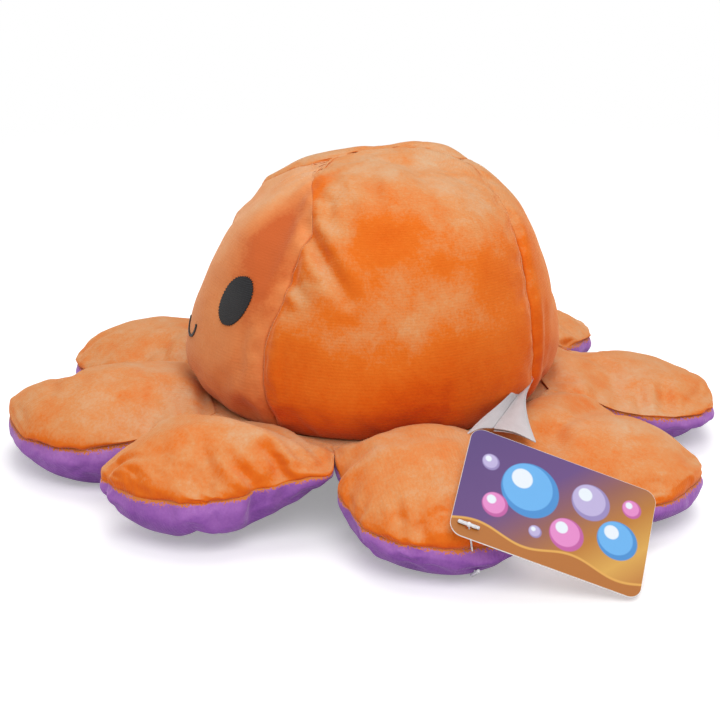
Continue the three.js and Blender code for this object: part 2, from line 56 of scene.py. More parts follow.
# Sizes in millimetres, as in the part's source
CLOTH = 2.2
WAIST_APOTHEM = 83
WAIST_HEIGHT = 36
MOUTH_RADIUS = 60
HEAD_RADIUS = 92
HEAD_HALF_HEIGHT = 99
HEAD_MIDDLE_HEIGHT = 59
HEAD_BASE_HEIGHT = 38.65
HEAD_BASE_RADIUS = 82
HEAD_TUCK_HEIGHT = 22
HEAD_POWER = 2.2
HEAD_TOP = HEAD_MIDDLE_HEIGHT + HEAD_HALF_HEIGHT
HEAD_LOWEST = -math.asin(((HEAD_MIDDLE_HEIGHT - HEAD_BASE_HEIGHT) / HEAD_HALF_HEIGHT) ** (HEAD_POWER / 2))
CROWN_SHIFT = 8
CROWN_SEAM_TILT = 15
CAVITY_HEIGHT = 72
CAVITY_POWER = 2.6
TENTACLES = 8
FIRST_HEADING = -142
HALF_SECTOR = math.pi / TENTACLES
SEAM_GAP = 0.3  # between the waist ring and what is sewn to it
TABLE_GAP = 0.15  # between a belly that lies flat and the table
FULL_HALF_WIDTH = 45
ROOT_SWELL = 3.4
TOP_SWELL = 23
TIP_SEAM_HEIGHT = 20
REACHES = [98 * share for share in (0.98, 1.0, 0.79, 0.86, 0.96, 0.96, 0.98, 1.0)]
WIDTH_SHARES = [1.0, 0.96, 0.96, 0.87, 0.96, 1.0, 1.0, 1.0]
PLUMP_SHARES = [0.75, 0.98, 0.8, 0.88, 0.7, 0.58, 0.52, 0.75]
RISE_SHARES = [0.5, 0.62, 0.55, 0.45, 0.62, 0.78, 0.5, 0.45]  # of the reach: the top is fullest from here on
SEAM_LIFTS = [0, 2.5, 8, 1.5, 0, 0, 0, 0]  # the seam runs this much higher along the limb
BELLY_STARTS = [0.32, 0.32, 0.75, 0.5, 0.32, 0.32, 0.32, 0.32]  # of the reach: the belly meets the table from here
BELLY_LIFTS = [0, 0, 7, 0, 0, 0, 0, 0]  # the belly's near flank stands this far off the table
WEB_SHIFTS = [0, 0, 6, 0, 0, 0, 0, 0]  # the seam of the web after this limb is pushed this far to the next one
NOTCH_FILLS = [0, 0, 11, 11, 0, 0, 0, 0]  # the web reaches further out between two limbs that are this much wider
NOTCH = (0.27, 0.17)  # of the reach: middle and spread of that
# How much narrower a flank is at shares of the reach, by limb and flank
TRIMS = {
    (2, 1): [(0.3, 0), (0.45, 7), (1, 7)],
    (3, -1): [(0.2, 0), (0.32, 4.5), (0.5, 1.5), (0.7, -1.5), (1, -1.5)],
    (4, 1): [(0.35, 0), (0.65, 4), (1, 4)],
}
SWAY_SHARES = [0.03, -0.2, -0.29, 0.17, 0.03, -0.04, -0.02, 0]
BELLY_POWERS = [3.0, 3.0, 1.9, 2.0, 2.1, 2.4, 3.0, 3.0]  # a low one gives a belly that rises early to its seam
ROOT_BULGE = 5
ROOT_CROWNS = [0, -0.3, -0.8, 0.3, 0, 0, 0, 0]  # how much more of the root's bulge the middle has than the seams
WEB_SHARE = 0.25  # of the reach: neighbours are sewn together up to here
TIP_START = 0.5  # of the reach: the round tip starts here
TIP_POWER = 2.4
DROP_POWER = 1.6  # how soon the seam and the belly come down from the waist
CORNER_SOFTNESS = 0.6  # how softly a flank leaves its web, in millimetres
WELD_STEP = 0.02  # points nearer than this are one
STUFFING_TIME = 20  # frames of the cloth simulation
START_SHRINK = 0.3  # of the way that a point may move: loose cloth starts this much smaller

# The head's axis stands over the middle of the waist ring
low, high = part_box("orange_waist_ring")
AXIS = (low + high) / 2 / MM
AXIS.z = 0


def radians(degrees):
    return np.radians(degrees)


def deselect():
    bpy.ops.object.select_all(action="DESELECT")


def activate(piece):
    deselect()
    piece.select_set(True)
    bpy.context.view_layer.objects.active = piece


def apply_modifiers(piece):
    activate(piece)
    for modifier in list(piece.modifiers):
        bpy.ops.object.modifier_apply(modifier=modifier.name)


def edit_all():
    bpy.ops.object.mode_set(mode="EDIT")
    bpy.ops.mesh.select_all(action="SELECT")


def end_edit():
    bpy.ops.object.mode_set(mode="OBJECT")


def apply_place(piece):
    activate(piece)
    bpy.ops.object.transform_apply(location=True, rotation=True, scale=True)


# Materials


def linear(hex_colour):
    parts = [int(hex_colour[k : k + 2], 16) / 255 for k in (1, 3, 5)]
    return tuple(c / 12.92 if c <= 0.04045 else ((c + 0.055) / 1.055) ** 2.4 for c in parts) + (1,)


def new_material(name):
    material = bpy.data.materials.new(name)
    material.use_nodes = True
    return material, material.node_tree.nodes["Principled BSDF"]


def set_inputs(owner, node, values):
    """Gives each named input of a node its value, or a link to another node's output."""
    for key, value in values.items():
        if isinstance(value, bpy.types.NodeSocket):
            owner.node_tree.links.new(value, node.inputs[key])
        else:
            node.inputs[key].default_value = value


def add(owner, kind, inputs=None, **settings):
    """Adds a shader node. settings are its properties."""
    node = owner.node_tree.nodes.new("ShaderNode" + kind)
    for key, value in settings.items():
        setattr(node, key, value)
    set_inputs(owner, node, inputs or {})
    return node


def ramp(owner, factor, stops):
    """Colour that runs through stops, each a place from 0 to 1 and a colour."""
    node = add(owner, "ValToRGB", {"Fac": factor})
    while len(node.color_ramp.elements) < len(stops):
        node.color_ramp.elements.new(0.5)
    for element, (place, colour) in zip(node.color_ramp.elements, stops):
        element.position = place
        element.color = linear(colour)
    return node.outputs["Color"]


def finish_material(material, shader, values, height=None, strength=0, depth=0):
    """Sets the shader's inputs, with a bump of a height pattern that is depth millimetres deep."""
    if height is not None:
        bump = add(material, "Bump", {"Strength": strength, "Distance": depth * MM, "Height": height})
        values = {**values, "Normal": bump.outputs["Normal"]}
    set_inputs(material, shader, values)
    return material


def per_mm(size):
    """Pattern scale at which one feature is size millimetres."""
    return 1 / (size * MM)


def bands_per_mm(size):
    """The same for the Wave texture, whose bands are 2 pi / 20 apart at scale 1."""
    return math.pi / 10 / (size * MM)


PAINTED_LIGHT_FROM_ABOVE = 0.32  # painted light and shade: how much paler cloth facing up is, and how much deeper cloth facing down is, than upright cloth, as a share of the row of shades
SHADE_PLACES = (0.19, 0.39, 0.61, 0.78, 0.95)  # where each of the five shades of a plush lies in that row
HAIR_REACH = 1.7  # how much further the longest hairs reach over the seam than the shortest
HAIRS_START = 1.5  # of that reach and the nearness to the seam: hairs cover the cloth from here on


def plush_material(name, shades, sheen, over=None):
    """Knitted velvet with 1 mm pile. The pile falls in soft patches. Painted light and shade: cloth that faces up
    is painted paler and cloth that faces down deeper, as if lit from above. A mark on the points deepens places where
    the pile was pressed down by stroking, and paints shade in a dent of the face. A rim of sheen shows where the pile
    is seen side on. Hairs of the cloth that it is sewn to, in the colour over, stand across the seam."""
    material, shader = new_material(name)
    coordinates = add(material, "TexCoord").outputs
    place = coordinates["Object"]
    cloth = add(material, "UVMap", uv_map="cloth").outputs["UV"]
    broad, strokes, pile, tufts = (
        add(
            material,
            "TexNoise",
            {"Vector": place, "Scale": per_mm(size), "Detail": detail, "Roughness": rough, "Distortion": twist},
        ).outputs["Fac"]
        for size, detail, rough, twist in ((42, 2, 0.5, 0), (12, 3, 0.6, 0.5), (1.6, 3, 0.8, 0), (2, 4, 0.8, 0))
    )
    rows = add(
        material,
        "TexWave",
        {"Vector": cloth, "Scale": bands_per_mm(1.5), "Distortion": 1.2, "Detail": 1.0, "Detail Scale": 0.6},
        bands_direction="Y",
    ).outputs["Fac"]
    patches = add(material, "Mix", {"Factor": 0.42, "A": broad, "B": strokes}).outputs["Result"]
    grained = add(material, "Mix", {"Factor": 0.28, "A": patches, "B": pile}).outputs["Result"]
    height = add(material, "Mix", {"Factor": 0.16, "A": tufts, "B": rows}).outputs["Result"]
    # Painted light and shade: the colour moves toward the pale shades where the cloth faces up and toward the deep
    # ones where it faces down
    up = add(material, "SeparateXYZ", {"Vector": coordinates["Normal"]}).outputs["Z"]
    grain_and_painted_light = add(material, "Math", {0: up, 1: PAINTED_LIGHT_FROM_ABOVE, 2: grained}, operation="MULTIPLY_ADD").outputs[0]
    # Painted shade, partly pile pressed down by stroking: this mark deepens the colour
    stroked = add(material, "Attribute", attribute_name="stroked_down").outputs["Fac"]
    tone_with_painted_light = add(material, "Math", {0: grain_and_painted_light, 1: stroked}, operation="SUBTRACT").outputs[0]
    colour = ramp(material, tone_with_painted_light, list(zip(SHADE_PLACES, shades)))
    if over:
        near = add(material, "Attribute", attribute_name="near_seam").outputs["Fac"]
        hair = {"Vector": place, "Scale": per_mm(1.1), "Detail": 2.0, "Roughness": 0.7}
        hairs = add(material, "TexNoise", hair).outputs["Fac"]
        reach = add(material, "Math", {0: hairs, 1: HAIR_REACH, 2: near}, operation="MULTIPLY_ADD").outputs[0]
        ends = {"Value": reach, "From Min": HAIRS_START, "From Max": HAIRS_START + 0.1}
        mixing = {"Factor": add(material, "MapRange", ends).outputs["Result"], "A": colour, "B": linear(over)}
        colour = add(material, "Mix", mixing, data_type="RGBA").outputs["Result"]
    values = {
        "Base Color": colour, "Roughness": 0.95, "Specular IOR Level": 0.1,
        "Sheen Weight": 0.55, "Sheen Roughness": 0.4, "Sheen Tint": linear(sheen),
    }
    return finish_material(material, shader, values, height, 0.6, 0.6)


def thread_material():
    """Black rayon embroidery thread in satin stitch: parallel shiny threads, grey where they catch the light."""
    material, shader = new_material("black satin stitch")
    place = add(material, "TexCoord").outputs["Object"]
    threads = add(
        material,
        "TexWave",
        {"Vector": place, "Scale": bands_per_mm(0.9), "Distortion": 2.2, "Detail": 2.0, "Detail Scale": 1.4},
        bands_direction="Z",
    ).outputs["Fac"]
    colour = ramp(material, threads, [(0.15, "#0b0b0c"), (0.9, "#202023")])
    values = {"Base Color": colour, "Roughness": 0.55, "Specular IOR Level": 0.25, "Sheen Weight": 0.08}
    return finish_material(material, shader, values, threads, 0.6, 0.25)


def satin_material():
    """Pale grey-white satin ribbon of a sewn-in label: very fine threads along it, and a soft gloss across them."""
    material, shader = new_material("white satin ribbon")
    cloth = add(material, "UVMap", uv_map="cloth").outputs["UV"]
    warp = add(
        material,
        "TexWave",
        {"Vector": cloth, "Scale": bands_per_mm(0.7), "Distortion": 0.6, "Detail": 1.0},
        bands_direction="X",
    ).outputs["Fac"]
    soil = add(material, "TexNoise", {"Vector": cloth, "Scale": per_mm(9), "Detail": 2.0}).outputs["Fac"]
    both = add(material, "Mix", {"Factor": 0.5, "A": warp, "B": soil}).outputs["Result"]
    colour = ramp(material, both, [(0.2, "#b3afb2"), (0.8, "#d3cfd2")])
    values = {"Base Color": colour, "Roughness": 0.42, "Sheen Weight": 0.3, "Anisotropic": 0.5}
    return finish_material(material, shader, values, warp, 0.35, 0.1)


def nylon_material():
    """Clear-white moulded nylon of a tag pin: milky, a little glossy, with light passing into it."""
    material, shader = new_material("moulded white nylon")
    place = add(material, "TexCoord").outputs["Object"]
    cloudy = add(material, "TexNoise", {"Vector": place, "Scale": per_mm(1.2), "Detail": 2.0}).outputs["Fac"]
    colour = ramp(material, cloudy, [(0.3, "#dcdce0"), (0.7, "#f1f1f4")])
    values = {"Base Color": colour, "Roughness": 0.32, "IOR": 1.53, "Subsurface Weight": 0.3}
    return finish_material(material, shader, {**values, "Subsurface Radius": (0.001, 0.001, 0.001)})


# The hang tag's own place, in millimetres and degrees, and what is printed on it, in millimetres from its middle
TAG_ORIGIN = (156.547, 31.716, 31.961)
TAG_TURN = (35.2, 21.2, 70.7)
TAG_NORMAL = Vector((0.6417, 0.0884, 0.7618))
TAG_ALONG = Vector((0.3081, 0.8799, -0.3616))
TAG_HOLE = Vector((160.768, -10.528, 33.7))
TAG_FLAT = (38.5, 21.75)  # where the round corners of the print start
TAG_CORNER = 5.8
TAG_BLEND = 0.3  # half the width over which one printed colour runs into the next
TAG_GROUND = [
    (0.0, "#4e3270"), (0.36, "#5d3b76"), (0.54, "#8a5347"), (0.7, "#b0701f"), (0.86, "#cf9c45"), (1.0, "#b3712a"),
]
TAG_WAVES = [(-19.5, "#d8a04a"), (-20.6, "#a9641c")]  # below this level, and colour
BLUE, PINK, PALE = ("#3f86c6", "#63a9e2"), ("#b8559a", "#d983bf"), ("#8f80b4", "#b5a9d2")  # edge and middle
GLINT = "#dfe6ee"
TAG_BUBBLES = [  # place, radius and colours
    (-13, 6, 13.5, BLUE), (-27, -7, 6.0, PINK), (7, -9, 8.0, PINK), (15, 11, 9.0, PALE),
    (30, -3, 9.5, BLUE), (34, 15, 4.5, PINK), (-33, 13, 4.0, PALE), (-7, -13, 3.0, PALE),
]


def card_material():
    """Coated printed card: violet running to gold, with bubbles over a wave. Its back and its cut edge are bare
    white board, and the print stops a hair inside the edge."""
    material, shader = new_material("printed coated card")
    place = add(material, "TexCoord").outputs["Object"]
    lying = {
        "Vector": place,
        "Location": [v * MM for v in TAG_ORIGIN],
        "Rotation": [math.radians(v) for v in TAG_TURN],
    }
    card = add(material, "Mapping", lying, vector_type="TEXTURE").outputs["Vector"]
    axes = add(material, "SeparateXYZ", {"Vector": card}).outputs
    slope = add(material, "Math", {0: axes["Y"], 1: -0.9, 2: axes["X"]}, operation="MULTIPLY_ADD").outputs[0]
    span = {"Value": slope, "From Min": -60 * MM, "From Max": 62 * MM}
    printed = ramp(material, add(material, "MapRange", span).outputs["Result"], TAG_GROUND)
    swell = add(material, "Math", {0: axes["X"], 1: 1 / (7 * MM)}, operation="MULTIPLY").outputs[0]
    wave = add(material, "Math", {0: swell}, operation="SINE").outputs[0]
    level = add(material, "Math", {0: wave, 1: -2.2 * MM, 2: axes["Y"]}, operation="MULTIPLY_ADD").outputs[0]
    marks = [(level, limit * MM, colour) for limit, colour in TAG_WAVES]
    for x, y, size, (edge, middle) in TAG_BUBBLES:
        for shift, share, shade in ((0, 1, edge), (0.1, 0.86, middle), (0.34, 0.36, GLINT)):
            centre = ((x - shift * size) * MM, (y + shift * size) * MM, 0.6 * MM)
            away = add(material, "VectorMath", {0: card, 1: centre}, operation="DISTANCE").outputs["Value"]
            marks.append((away, share * size * MM, shade))
    for measure, limit, colour in marks:
        span = {"Value": measure, "From Min": limit + TAG_BLEND * MM, "From Max": limit - TAG_BLEND * MM}
        mixing = {"Factor": add(material, "MapRange", span).outputs["Result"], "A": printed, "B": linear(colour)}
        printed = add(material, "Mix", mixing, data_type="RGBA").outputs["Result"]
    past = add(material, "VectorMath", {0: card}, operation="ABSOLUTE").outputs["Vector"]
    for operation, limit in (("SUBTRACT", (TAG_FLAT[0] * MM, TAG_FLAT[1] * MM, 1)), ("MAXIMUM", (0, 0, 0))):
        past = add(material, "VectorMath", {0: past, 1: limit}, operation=operation).outputs["Vector"]
    rim = add(material, "VectorMath", {0: past}, operation="LENGTH").outputs["Value"]
    span = {"Value": rim, "From Min": (TAG_CORNER + 0.15) * MM, "From Max": TAG_CORNER * MM}
    inside = add(material, "MapRange", span).outputs["Result"]
    front = add(material, "Math", {0: axes["Z"], 1: 0.4 * MM}, operation="GREATER_THAN").outputs[0]
    covered = add(material, "Math", {0: inside, 1: front}, operation="MULTIPLY").outputs[0]
    fibres = add(material, "TexNoise", {"Vector": place, "Scale": per_mm(1.4), "Detail": 3.0}).outputs["Fac"]
    board = ramp(material, fibres, [(0.3, "#dedad6"), (0.7, "#eeebe8")])
    colour = add(material, "Mix", {"Factor": covered, "A": board, "B": printed}, data_type="RGBA").outputs["Result"]
    values = {"Base Color": colour, "Roughness": 0.38, "Coat Weight": 0.25, "Coat Roughness": 0.2}
    return finish_material(material, shader, values, fibres, 0.08, 0.05)


# Rows of shades from deep to pale. Their deep ends are painted shade on cloth that faces down and their pale ends
# painted light on cloth that faces up; the cloth's own patches vary the tone between them
ORANGE = plush_material("orange velvet plush", ("#cb4507", "#dc5d0e", "#e3701f", "#dd9158", "#d8ae88"), "#ffd0a0")
# The face panel's plush: paler, pinker shades than the orange, partly its nap lying another way and partly painted
# sheen
FACE_NAP_AND_PAINTED_SHEEN = plush_material(
    "orange velvet plush with face nap and painted sheen", ("#cb6230", "#da7b43", "#e38d54", "#e49f6b", "#e0b18d"), "#ffd4b0"
)
PURPLE = plush_material(
    "purple velvet plush", ("#6c3889", "#8c52a6", "#a56bb9", "#b880c8", "#c99cd4"), "#ecccf5", "#d9813c"
)
THREAD = thread_material()
SATIN = satin_material()
NYLON = nylon_material()
CARD = card_material()


# Sewn and stuffed forms


def power_arc(angle, power):
    share = 2 / power
    across = np.maximum(0, np.cos(angle)) ** share
    up = np.sign(angle) * np.abs(np.sin(angle)) ** share
    return across, up


def around(distance, heading, height):
    return np.stack([distance * np.cos(heading), distance * np.sin(heading), height], axis=-1)


def rising(value, start, over):
    """0 up to start, and 1 from a distance over past it."""
    return np.clip((value - start) / over, 0, 1)


def hump(value, middle, spread):
    return np.exp(-(((value - middle) / spread) ** 2))


def crown_drift(height):
    """How far the head leans at a height."""
    return CROWN_SHIFT * ((height - HEAD_BASE_HEIGHT) / (HEAD_TOP - HEAD_BASE_HEIGHT)) ** 2


def head_form(heading, rise):
    """Plain outside of the head. rise runs from 0 at the waist to 1 at the crown."""
    across, up = power_arc(HEAD_LOWEST + (math.pi / 2 - HEAD_LOWEST) * rise, HEAD_POWER)
    height = HEAD_MIDDLE_HEIGHT + HEAD_HALF_HEIGHT * up
    lift = (height - HEAD_BASE_HEIGHT) / HEAD_TUCK_HEIGHT
    base, _ = power_arc(np.array(HEAD_LOWEST), HEAD_POWER)
    tuck = (HEAD_RADIUS * base - HEAD_BASE_RADIUS) * np.maximum(0, 1 - lift) ** 2
    points = around(HEAD_RADIUS * across - tuck, heading, height)
    points[..., 1] += crown_drift(height)
    return points


def head_skin(heading, rise):
    """The same surface, with its top lines drawn aside, so that the crown seam lies beyond the crown."""
    points = head_form(heading, rise)
    tilt = radians(CROWN_SEAM_TILT) * rising(rise, 0.6, 0.4) ** 1.5
    x, z = points[..., 0], points[..., 2] - HEAD_MIDDLE_HEIGHT
    x, z = x * np.cos(tilt) - z * np.sin(tilt), x * np.sin(tilt) + z * np.cos(tilt)
    y = points[..., 1] - crown_drift(np.clip(z + HEAD_MIDDLE_HEIGHT, HEAD_BASE_HEIGHT, HEAD_TOP))
    half = HEAD_POWER / 2
    angle = np.arctan2(np.maximum(z / HEAD_HALF_HEIGHT, 0) ** half, (np.hypot(x, y) / HEAD_RADIUS) ** half)
    drawn = head_form(np.arctan2(y, x), (angle - HEAD_LOWEST) / (math.pi / 2 - HEAD_LOWEST))
    return np.where((tilt > 0)[..., None], drawn, points)


def lining_form(heading, rise):
    across, up = power_arc(math.pi / 2 * rise, CAVITY_POWER)
    return around(MOUTH_RADIUS * across, heading, HEAD_BASE_HEIGHT + CAVITY_HEIGHT * up)


def limb_half_width(limb, along):
    """Half the width of a tentacle, and the share of it that the round tip leaves."""
    sector = (WAIST_APOTHEM + SEAM_GAP + REACHES[limb] * along) * math.tan(HALF_SECTOR) - 0.05
    full = FULL_HALF_WIDTH * WIDTH_SHARES[limb] + NOTCH_FILLS[limb] * hump(along, *NOTCH)
    half = -CORNER_SOFTNESS * np.logaddexp(-sector / CORNER_SOFTNESS, -full / CORNER_SOFTNESS)
    past = np.maximum(0, (along - TIP_START) / (1 - TIP_START))
    return half, np.maximum(0, 1 - past**TIP_POWER) ** (1 / TIP_POWER)


def limb_sway(limb, along):
    return REACHES[limb] * SWAY_SHARES[limb] * rising(along, 0.1, 0.9) ** 2


def root_bulge(along):
    """The stuffed root stands up against the foot of the head."""
    return ROOT_BULGE * hump(along, 0.17, 0.12) * rising(along, 0, 0.1)


def seam_height(limb, along):
    height = TIP_SEAM_HEIGHT + (WAIST_HEIGHT - TIP_SEAM_HEIGHT) * np.clip(1 - along, 0, 1) ** DROP_POWER
    height = height + 0.8 * root_bulge(along)
    return height + SEAM_LIFTS[limb] * rising(along, 0.2, 0.18)


def web_shift(limb, outward, flank):
    """How far the seam that a flank shares with its neighbour is pushed toward the next limb. It goes by the
    distance along that seam, so both neighbours get the same curve."""
    most = np.where(flank < 0, WEB_SHIFTS[limb - 1], WEB_SHIFTS[limb])
    shift = 0
    for _ in range(4):
        distance = outward / math.cos(HALF_SECTOR) + flank * shift * math.sin(HALF_SECTOR)
        shift = most * rising(distance, 89, 22) * rising(-distance, -128, 14)
    return shift


def limb_form(limb, side, along, across):
    """Plain skin of a tentacle, x outward. side is 1 on the orange top and -1 on the purple belly."""
    seam = seam_height(limb, along)
    half, round_tip = limb_half_width(limb, along)
    edge = ROOT_SWELL * np.clip(1 - along / WEB_SHARE, 0, 1) ** 0.8
    if side > 0:
        full_rise = np.sin(math.pi / 2 * np.minimum(1, along / RISE_SHARES[limb]))
        fullness = ROOT_SWELL + (TOP_SWELL * PLUMP_SHARES[limb] - ROOT_SWELL) * full_rise
        arch = np.maximum(0, 1 - np.abs(across) ** 2) ** 0.62
    else:
        fullness = seam - (WAIST_HEIGHT - ROOT_SWELL) * np.maximum(0, 1 - along / BELLY_STARTS[limb]) ** DROP_POWER
        arch = np.maximum(0, 1 - np.abs(across) ** BELLY_POWERS[limb]) ** 0.5
    height = seam + side * (edge + (fullness * round_tip - edge) * arch)
    height = height + (side > 0) * ROOT_CROWNS[limb] * root_bulge(along) * (1 - across**4)
    outward = WAIST_APOTHEM + SEAM_GAP + REACHES[limb] * along
    standing = BELLY_LIFTS[limb] * rising(across, -0.3, 0.7) * rising(along, 0.3, 0.2)
    height = np.maximum(height, TABLE_GAP + standing * (1 - height / (seam + 1)) * (side < 0))
    far, near = (np.interp(along, *zip(*TRIMS.get((limb, flank), [(0, 0)]))) for flank in (-1, 1))
    trim = np.where(across < 0, -far, near) * round_tip
    shift = web_shift(limb, outward, np.where(across < 0, -1, 1))
    sideways = half * round_tip * across + (shift - trim) * across**2 + limb_sway(limb, along)
    return np.stack([outward, sideways, height], axis=-1)


def path_distance(points, path):
    """Distance from each point to a path, and how far along the path the nearest place is, in millimetres."""
    steps = np.linalg.norm(np.diff(path, axis=0), axis=1)
    travelled = np.concatenate([[0], np.cumsum(steps)])
    best = np.full(len(points), 1e9)
    along = np.zeros(len(points))
    for k, step in enumerate(steps):
        if step < 1e-6:
            continue
        way = (path[k + 1] - path[k]) / step
        place = np.clip((points - path[k]) @ way, 0, step)
        away = np.linalg.norm(points - path[k] - place[:, None] * way, axis=1)
        nearer = away < best
        best = np.where(nearer, away, best)
        along = np.where(nearer, travelled[k] + place, along)
    return best, along, travelled[-1]


def fold(points, path, depth, width, shoulder=0.0):
    """A soft valley along a path, with cloth pushed up beside it."""
    away, along, length = path_distance(points, path)
    ends = np.sin(math.pi * np.clip(along / max(length, 1e-6), 0.06, 0.94)) ** 0.6
    valley = -depth * np.exp(-((away / width) ** 2))
    beside = shoulder * np.exp(-(((away - 1.8 * width) / width) ** 2))
    return (valley + beside) * ends


def along_way(way, count):
    """Evenly spaced places on a way that is given by a few of them."""
    fine, place = np.linspace(0, len(way) - 1, count), np.arange(len(way))
    return [np.interp(fine, place, values) for values in zip(*way)]


def soft_noise(points, size, seed):
    shift = Vector((seed * 7.13, seed * 3.7, seed * 5.9))
    return np.array([noise.noise(Vector(p) + shift) for p in points / size])


def seam_dip(points, path, depth, width, pucker, seed):
    """A sewn seam draws the cloth in, and gathers it in small uneven folds across the seam."""
    away, along, _ = path_distance(points, path)
    line = np.stack([along / 8.5, 0 * along + seed * 4.7, 0 * along], axis=-1)
    gathers = soft_noise(line, 1, seed) + 0.5 * soft_noise(2.3 * line, 1, seed + 1)
    dip = -depth * np.exp(-((away / width) ** 2))
    return dip + 1.8 * pucker * gathers * np.exp(-away / (2.4 * width))


def weld(grids):
    """One list of points for grids that share edges, each grid's index into it, and all the faces."""
    flat = np.concatenate([grid.reshape(-1, 3) for grid in grids])
    steps = np.round(flat / WELD_STEP + 0.137).astype(np.int64)
    _, first, index = np.unique(steps, axis=0, return_index=True, return_inverse=True)
    index, start, parts = index.reshape(-1), 0, []
    for grid in grids:
        count = grid.shape[0] * grid.shape[1]
        parts.append(index[start : start + count].reshape(grid.shape[:2]))
        start += count
    return flat[first], parts, [face for part in parts for face in quads(part)]


def quads(index):
    corners = np.stack([index[:-1, :-1], index[1:, :-1], index[1:, 1:], index[:-1, 1:]], axis=-1).reshape(-1, 4)
    return [list(dict.fromkeys(corner)) for corner in corners.tolist() if len(set(corner)) > 2]


def link_mesh(name, points, faces):
    mesh = bpy.data.meshes.new(name)
    mesh.from_pydata((points * MM).tolist(), [], faces)
    piece = bpy.data.objects.new(name, mesh)
    bpy.context.collection.objects.link(piece)
    return piece


def read_points(piece):
    flat = np.empty(3 * len(piece.data.vertices))
    piece.data.vertices.foreach_get("co", flat)
    return flat.reshape(-1, 3) / MM


def skin_normals(points, faces):
    piece = link_mesh("skin", points, faces)
    flat = np.empty(3 * len(points))
    piece.data.vertex_normals.foreach_get("vector", flat)
    bpy.data.objects.remove(piece)
    return flat.reshape(-1, 3)


def stuff(points, faces, held, loose, spare, most):
    """Cloth simulation of the filling. The sewn cloth is cut larger than its form by the share spare, its held
    points stay, and the filling presses from inside, so it swells and wrinkles. It starts a little smaller where it
    is loose, and no point moves more than its share in most."""
    points = points - START_SHRINK * (most * loose * (1 - held))[:, None] * skin_normals(points, faces)
    piece = link_mesh("stuffed_cloth", points, faces)
    group = piece.vertex_groups.new(name="held")
    for k in np.nonzero(held)[0].tolist():
        group.add([k], float(held[k]), "REPLACE")
    cloth = piece.modifiers.new("filling", "CLOTH")
    settings = cloth.settings
    settings.quality = 5
    settings.mass = 0.3
    settings.tension_stiffness = settings.compression_stiffness = 15
    settings.shear_stiffness = 5
    settings.bending_stiffness = 0.3
    settings.use_pressure = True
    settings.uniform_pressure_force = 4
    settings.shrink_min = -spare
    settings.vertex_group_mass = group.name
    settings.effector_weights.gravity = 0
    cloth.collision_settings.use_collision = False
    scene = bpy.context.scene
    for moment in range(1, STUFFING_TIME + 1):
        scene.frame_set(moment)
    apply_modifiers(piece)
    moved = read_points(piece) - points
    bpy.data.objects.remove(piece)
    scene.frame_set(1)
    length = np.linalg.norm(moved, axis=1, keepdims=True)
    return points + moved * np.minimum(1, most[:, None] / np.maximum(length, 1e-9))


def cloth_piece(name, grid, material, cut, thickness=0.8 * CLOTH, **marks):
    """One sewn panel as a closed cloth, from a point grid in millimetres. cut gives each point's place on the flat
    cloth, for the nap and the knit. marks are values at the points that the material reads."""
    points = grid.reshape(-1, 3)
    piece = link_mesh(name, points, quads(np.arange(len(points)).reshape(grid.shape[:2])))
    mesh = piece.data
    mesh.materials.append(material)
    for mark, values in marks.items():
        mesh.attributes.new(mark, "FLOAT", "POINT").data.foreach_set("value", values.ravel())
    layer = mesh.uv_layers.new(name="cloth")
    corners = np.empty(len(mesh.loops), np.int32)
    mesh.loops.foreach_get("vertex_index", corners)
    layer.data.foreach_set("uv", (cut.reshape(-1, 2)[corners] * MM).ravel())
    activate(piece)
    edit_all()
    bpy.ops.mesh.remove_doubles(threshold=WELD_STEP * MM)
    bpy.ops.mesh.dissolve_degenerate(threshold=0.01 * MM)
    end_edit()
    smooth = piece.modifiers.new("round", "SUBSURF")
    smooth.levels = smooth.render_levels = 1
    thick = piece.modifiers.new("cloth", "SOLIDIFY")
    thick.thickness = thickness * MM
    thick.offset = -1
    thick.thickness_clamp = 1.6
    apply_modifiers(piece)
    bpy.ops.object.shade_smooth()
    return piece


def dress(piece, body, slot, *nodes, fill=None):
    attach(piece, body)
    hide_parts(*nodes)
    return piece


def even(count):
    return np.linspace(0, 1, count + 1)


def toward_edges(count, pull=0.5):
    """Shares from 0 to 1 that lie closer together at both ends."""
    t = even(count)
    return (1 - pull) * t + pull * (0.5 - 0.5 * np.cos(math.pi * t))


# Head. Each seam is given by its heading at several shares of the rise
FACE_NEAR_SEAM = [
    (0, -50), (0.09, -52), (0.2, -53), (0.27, -52), (0.33, -49.5), (0.46, -49), (0.55, -48.5),
    (0.61, -51), (0.67, -57), (0.73, -67), (0.79, -80), (0.83, -92), (0.859375, -105), (1, -105),
]
BACK_NEAR_SEAM = [
    (0, 40), (0.2, 40.5), (0.32, 42), (0.41, 45), (0.51, 50), (0.61, 60), (0.69, 75), (0.75, 90), (1, 90),
]
BACK_FAR_SEAM = [(0, 137), (0.3, 137), (0.5, 131), (0.61, 117), (0.69, 102), (0.75, 90), (1, 90)]
FACE_FAR_SEAM = [(rise, 180 - heading) for rise, heading in FACE_NEAR_SEAM[:7]] + [
    (0.61, 230), (0.67, 233), (0.73, 238), (0.79, 246), (0.83, 251), (0.859375, 255), (1, 255),
]
HEAD_ROWS = 64
FACE_ROWS = 55  # the rows up to where the face panel's two seams meet
BACK_ROWS = 48

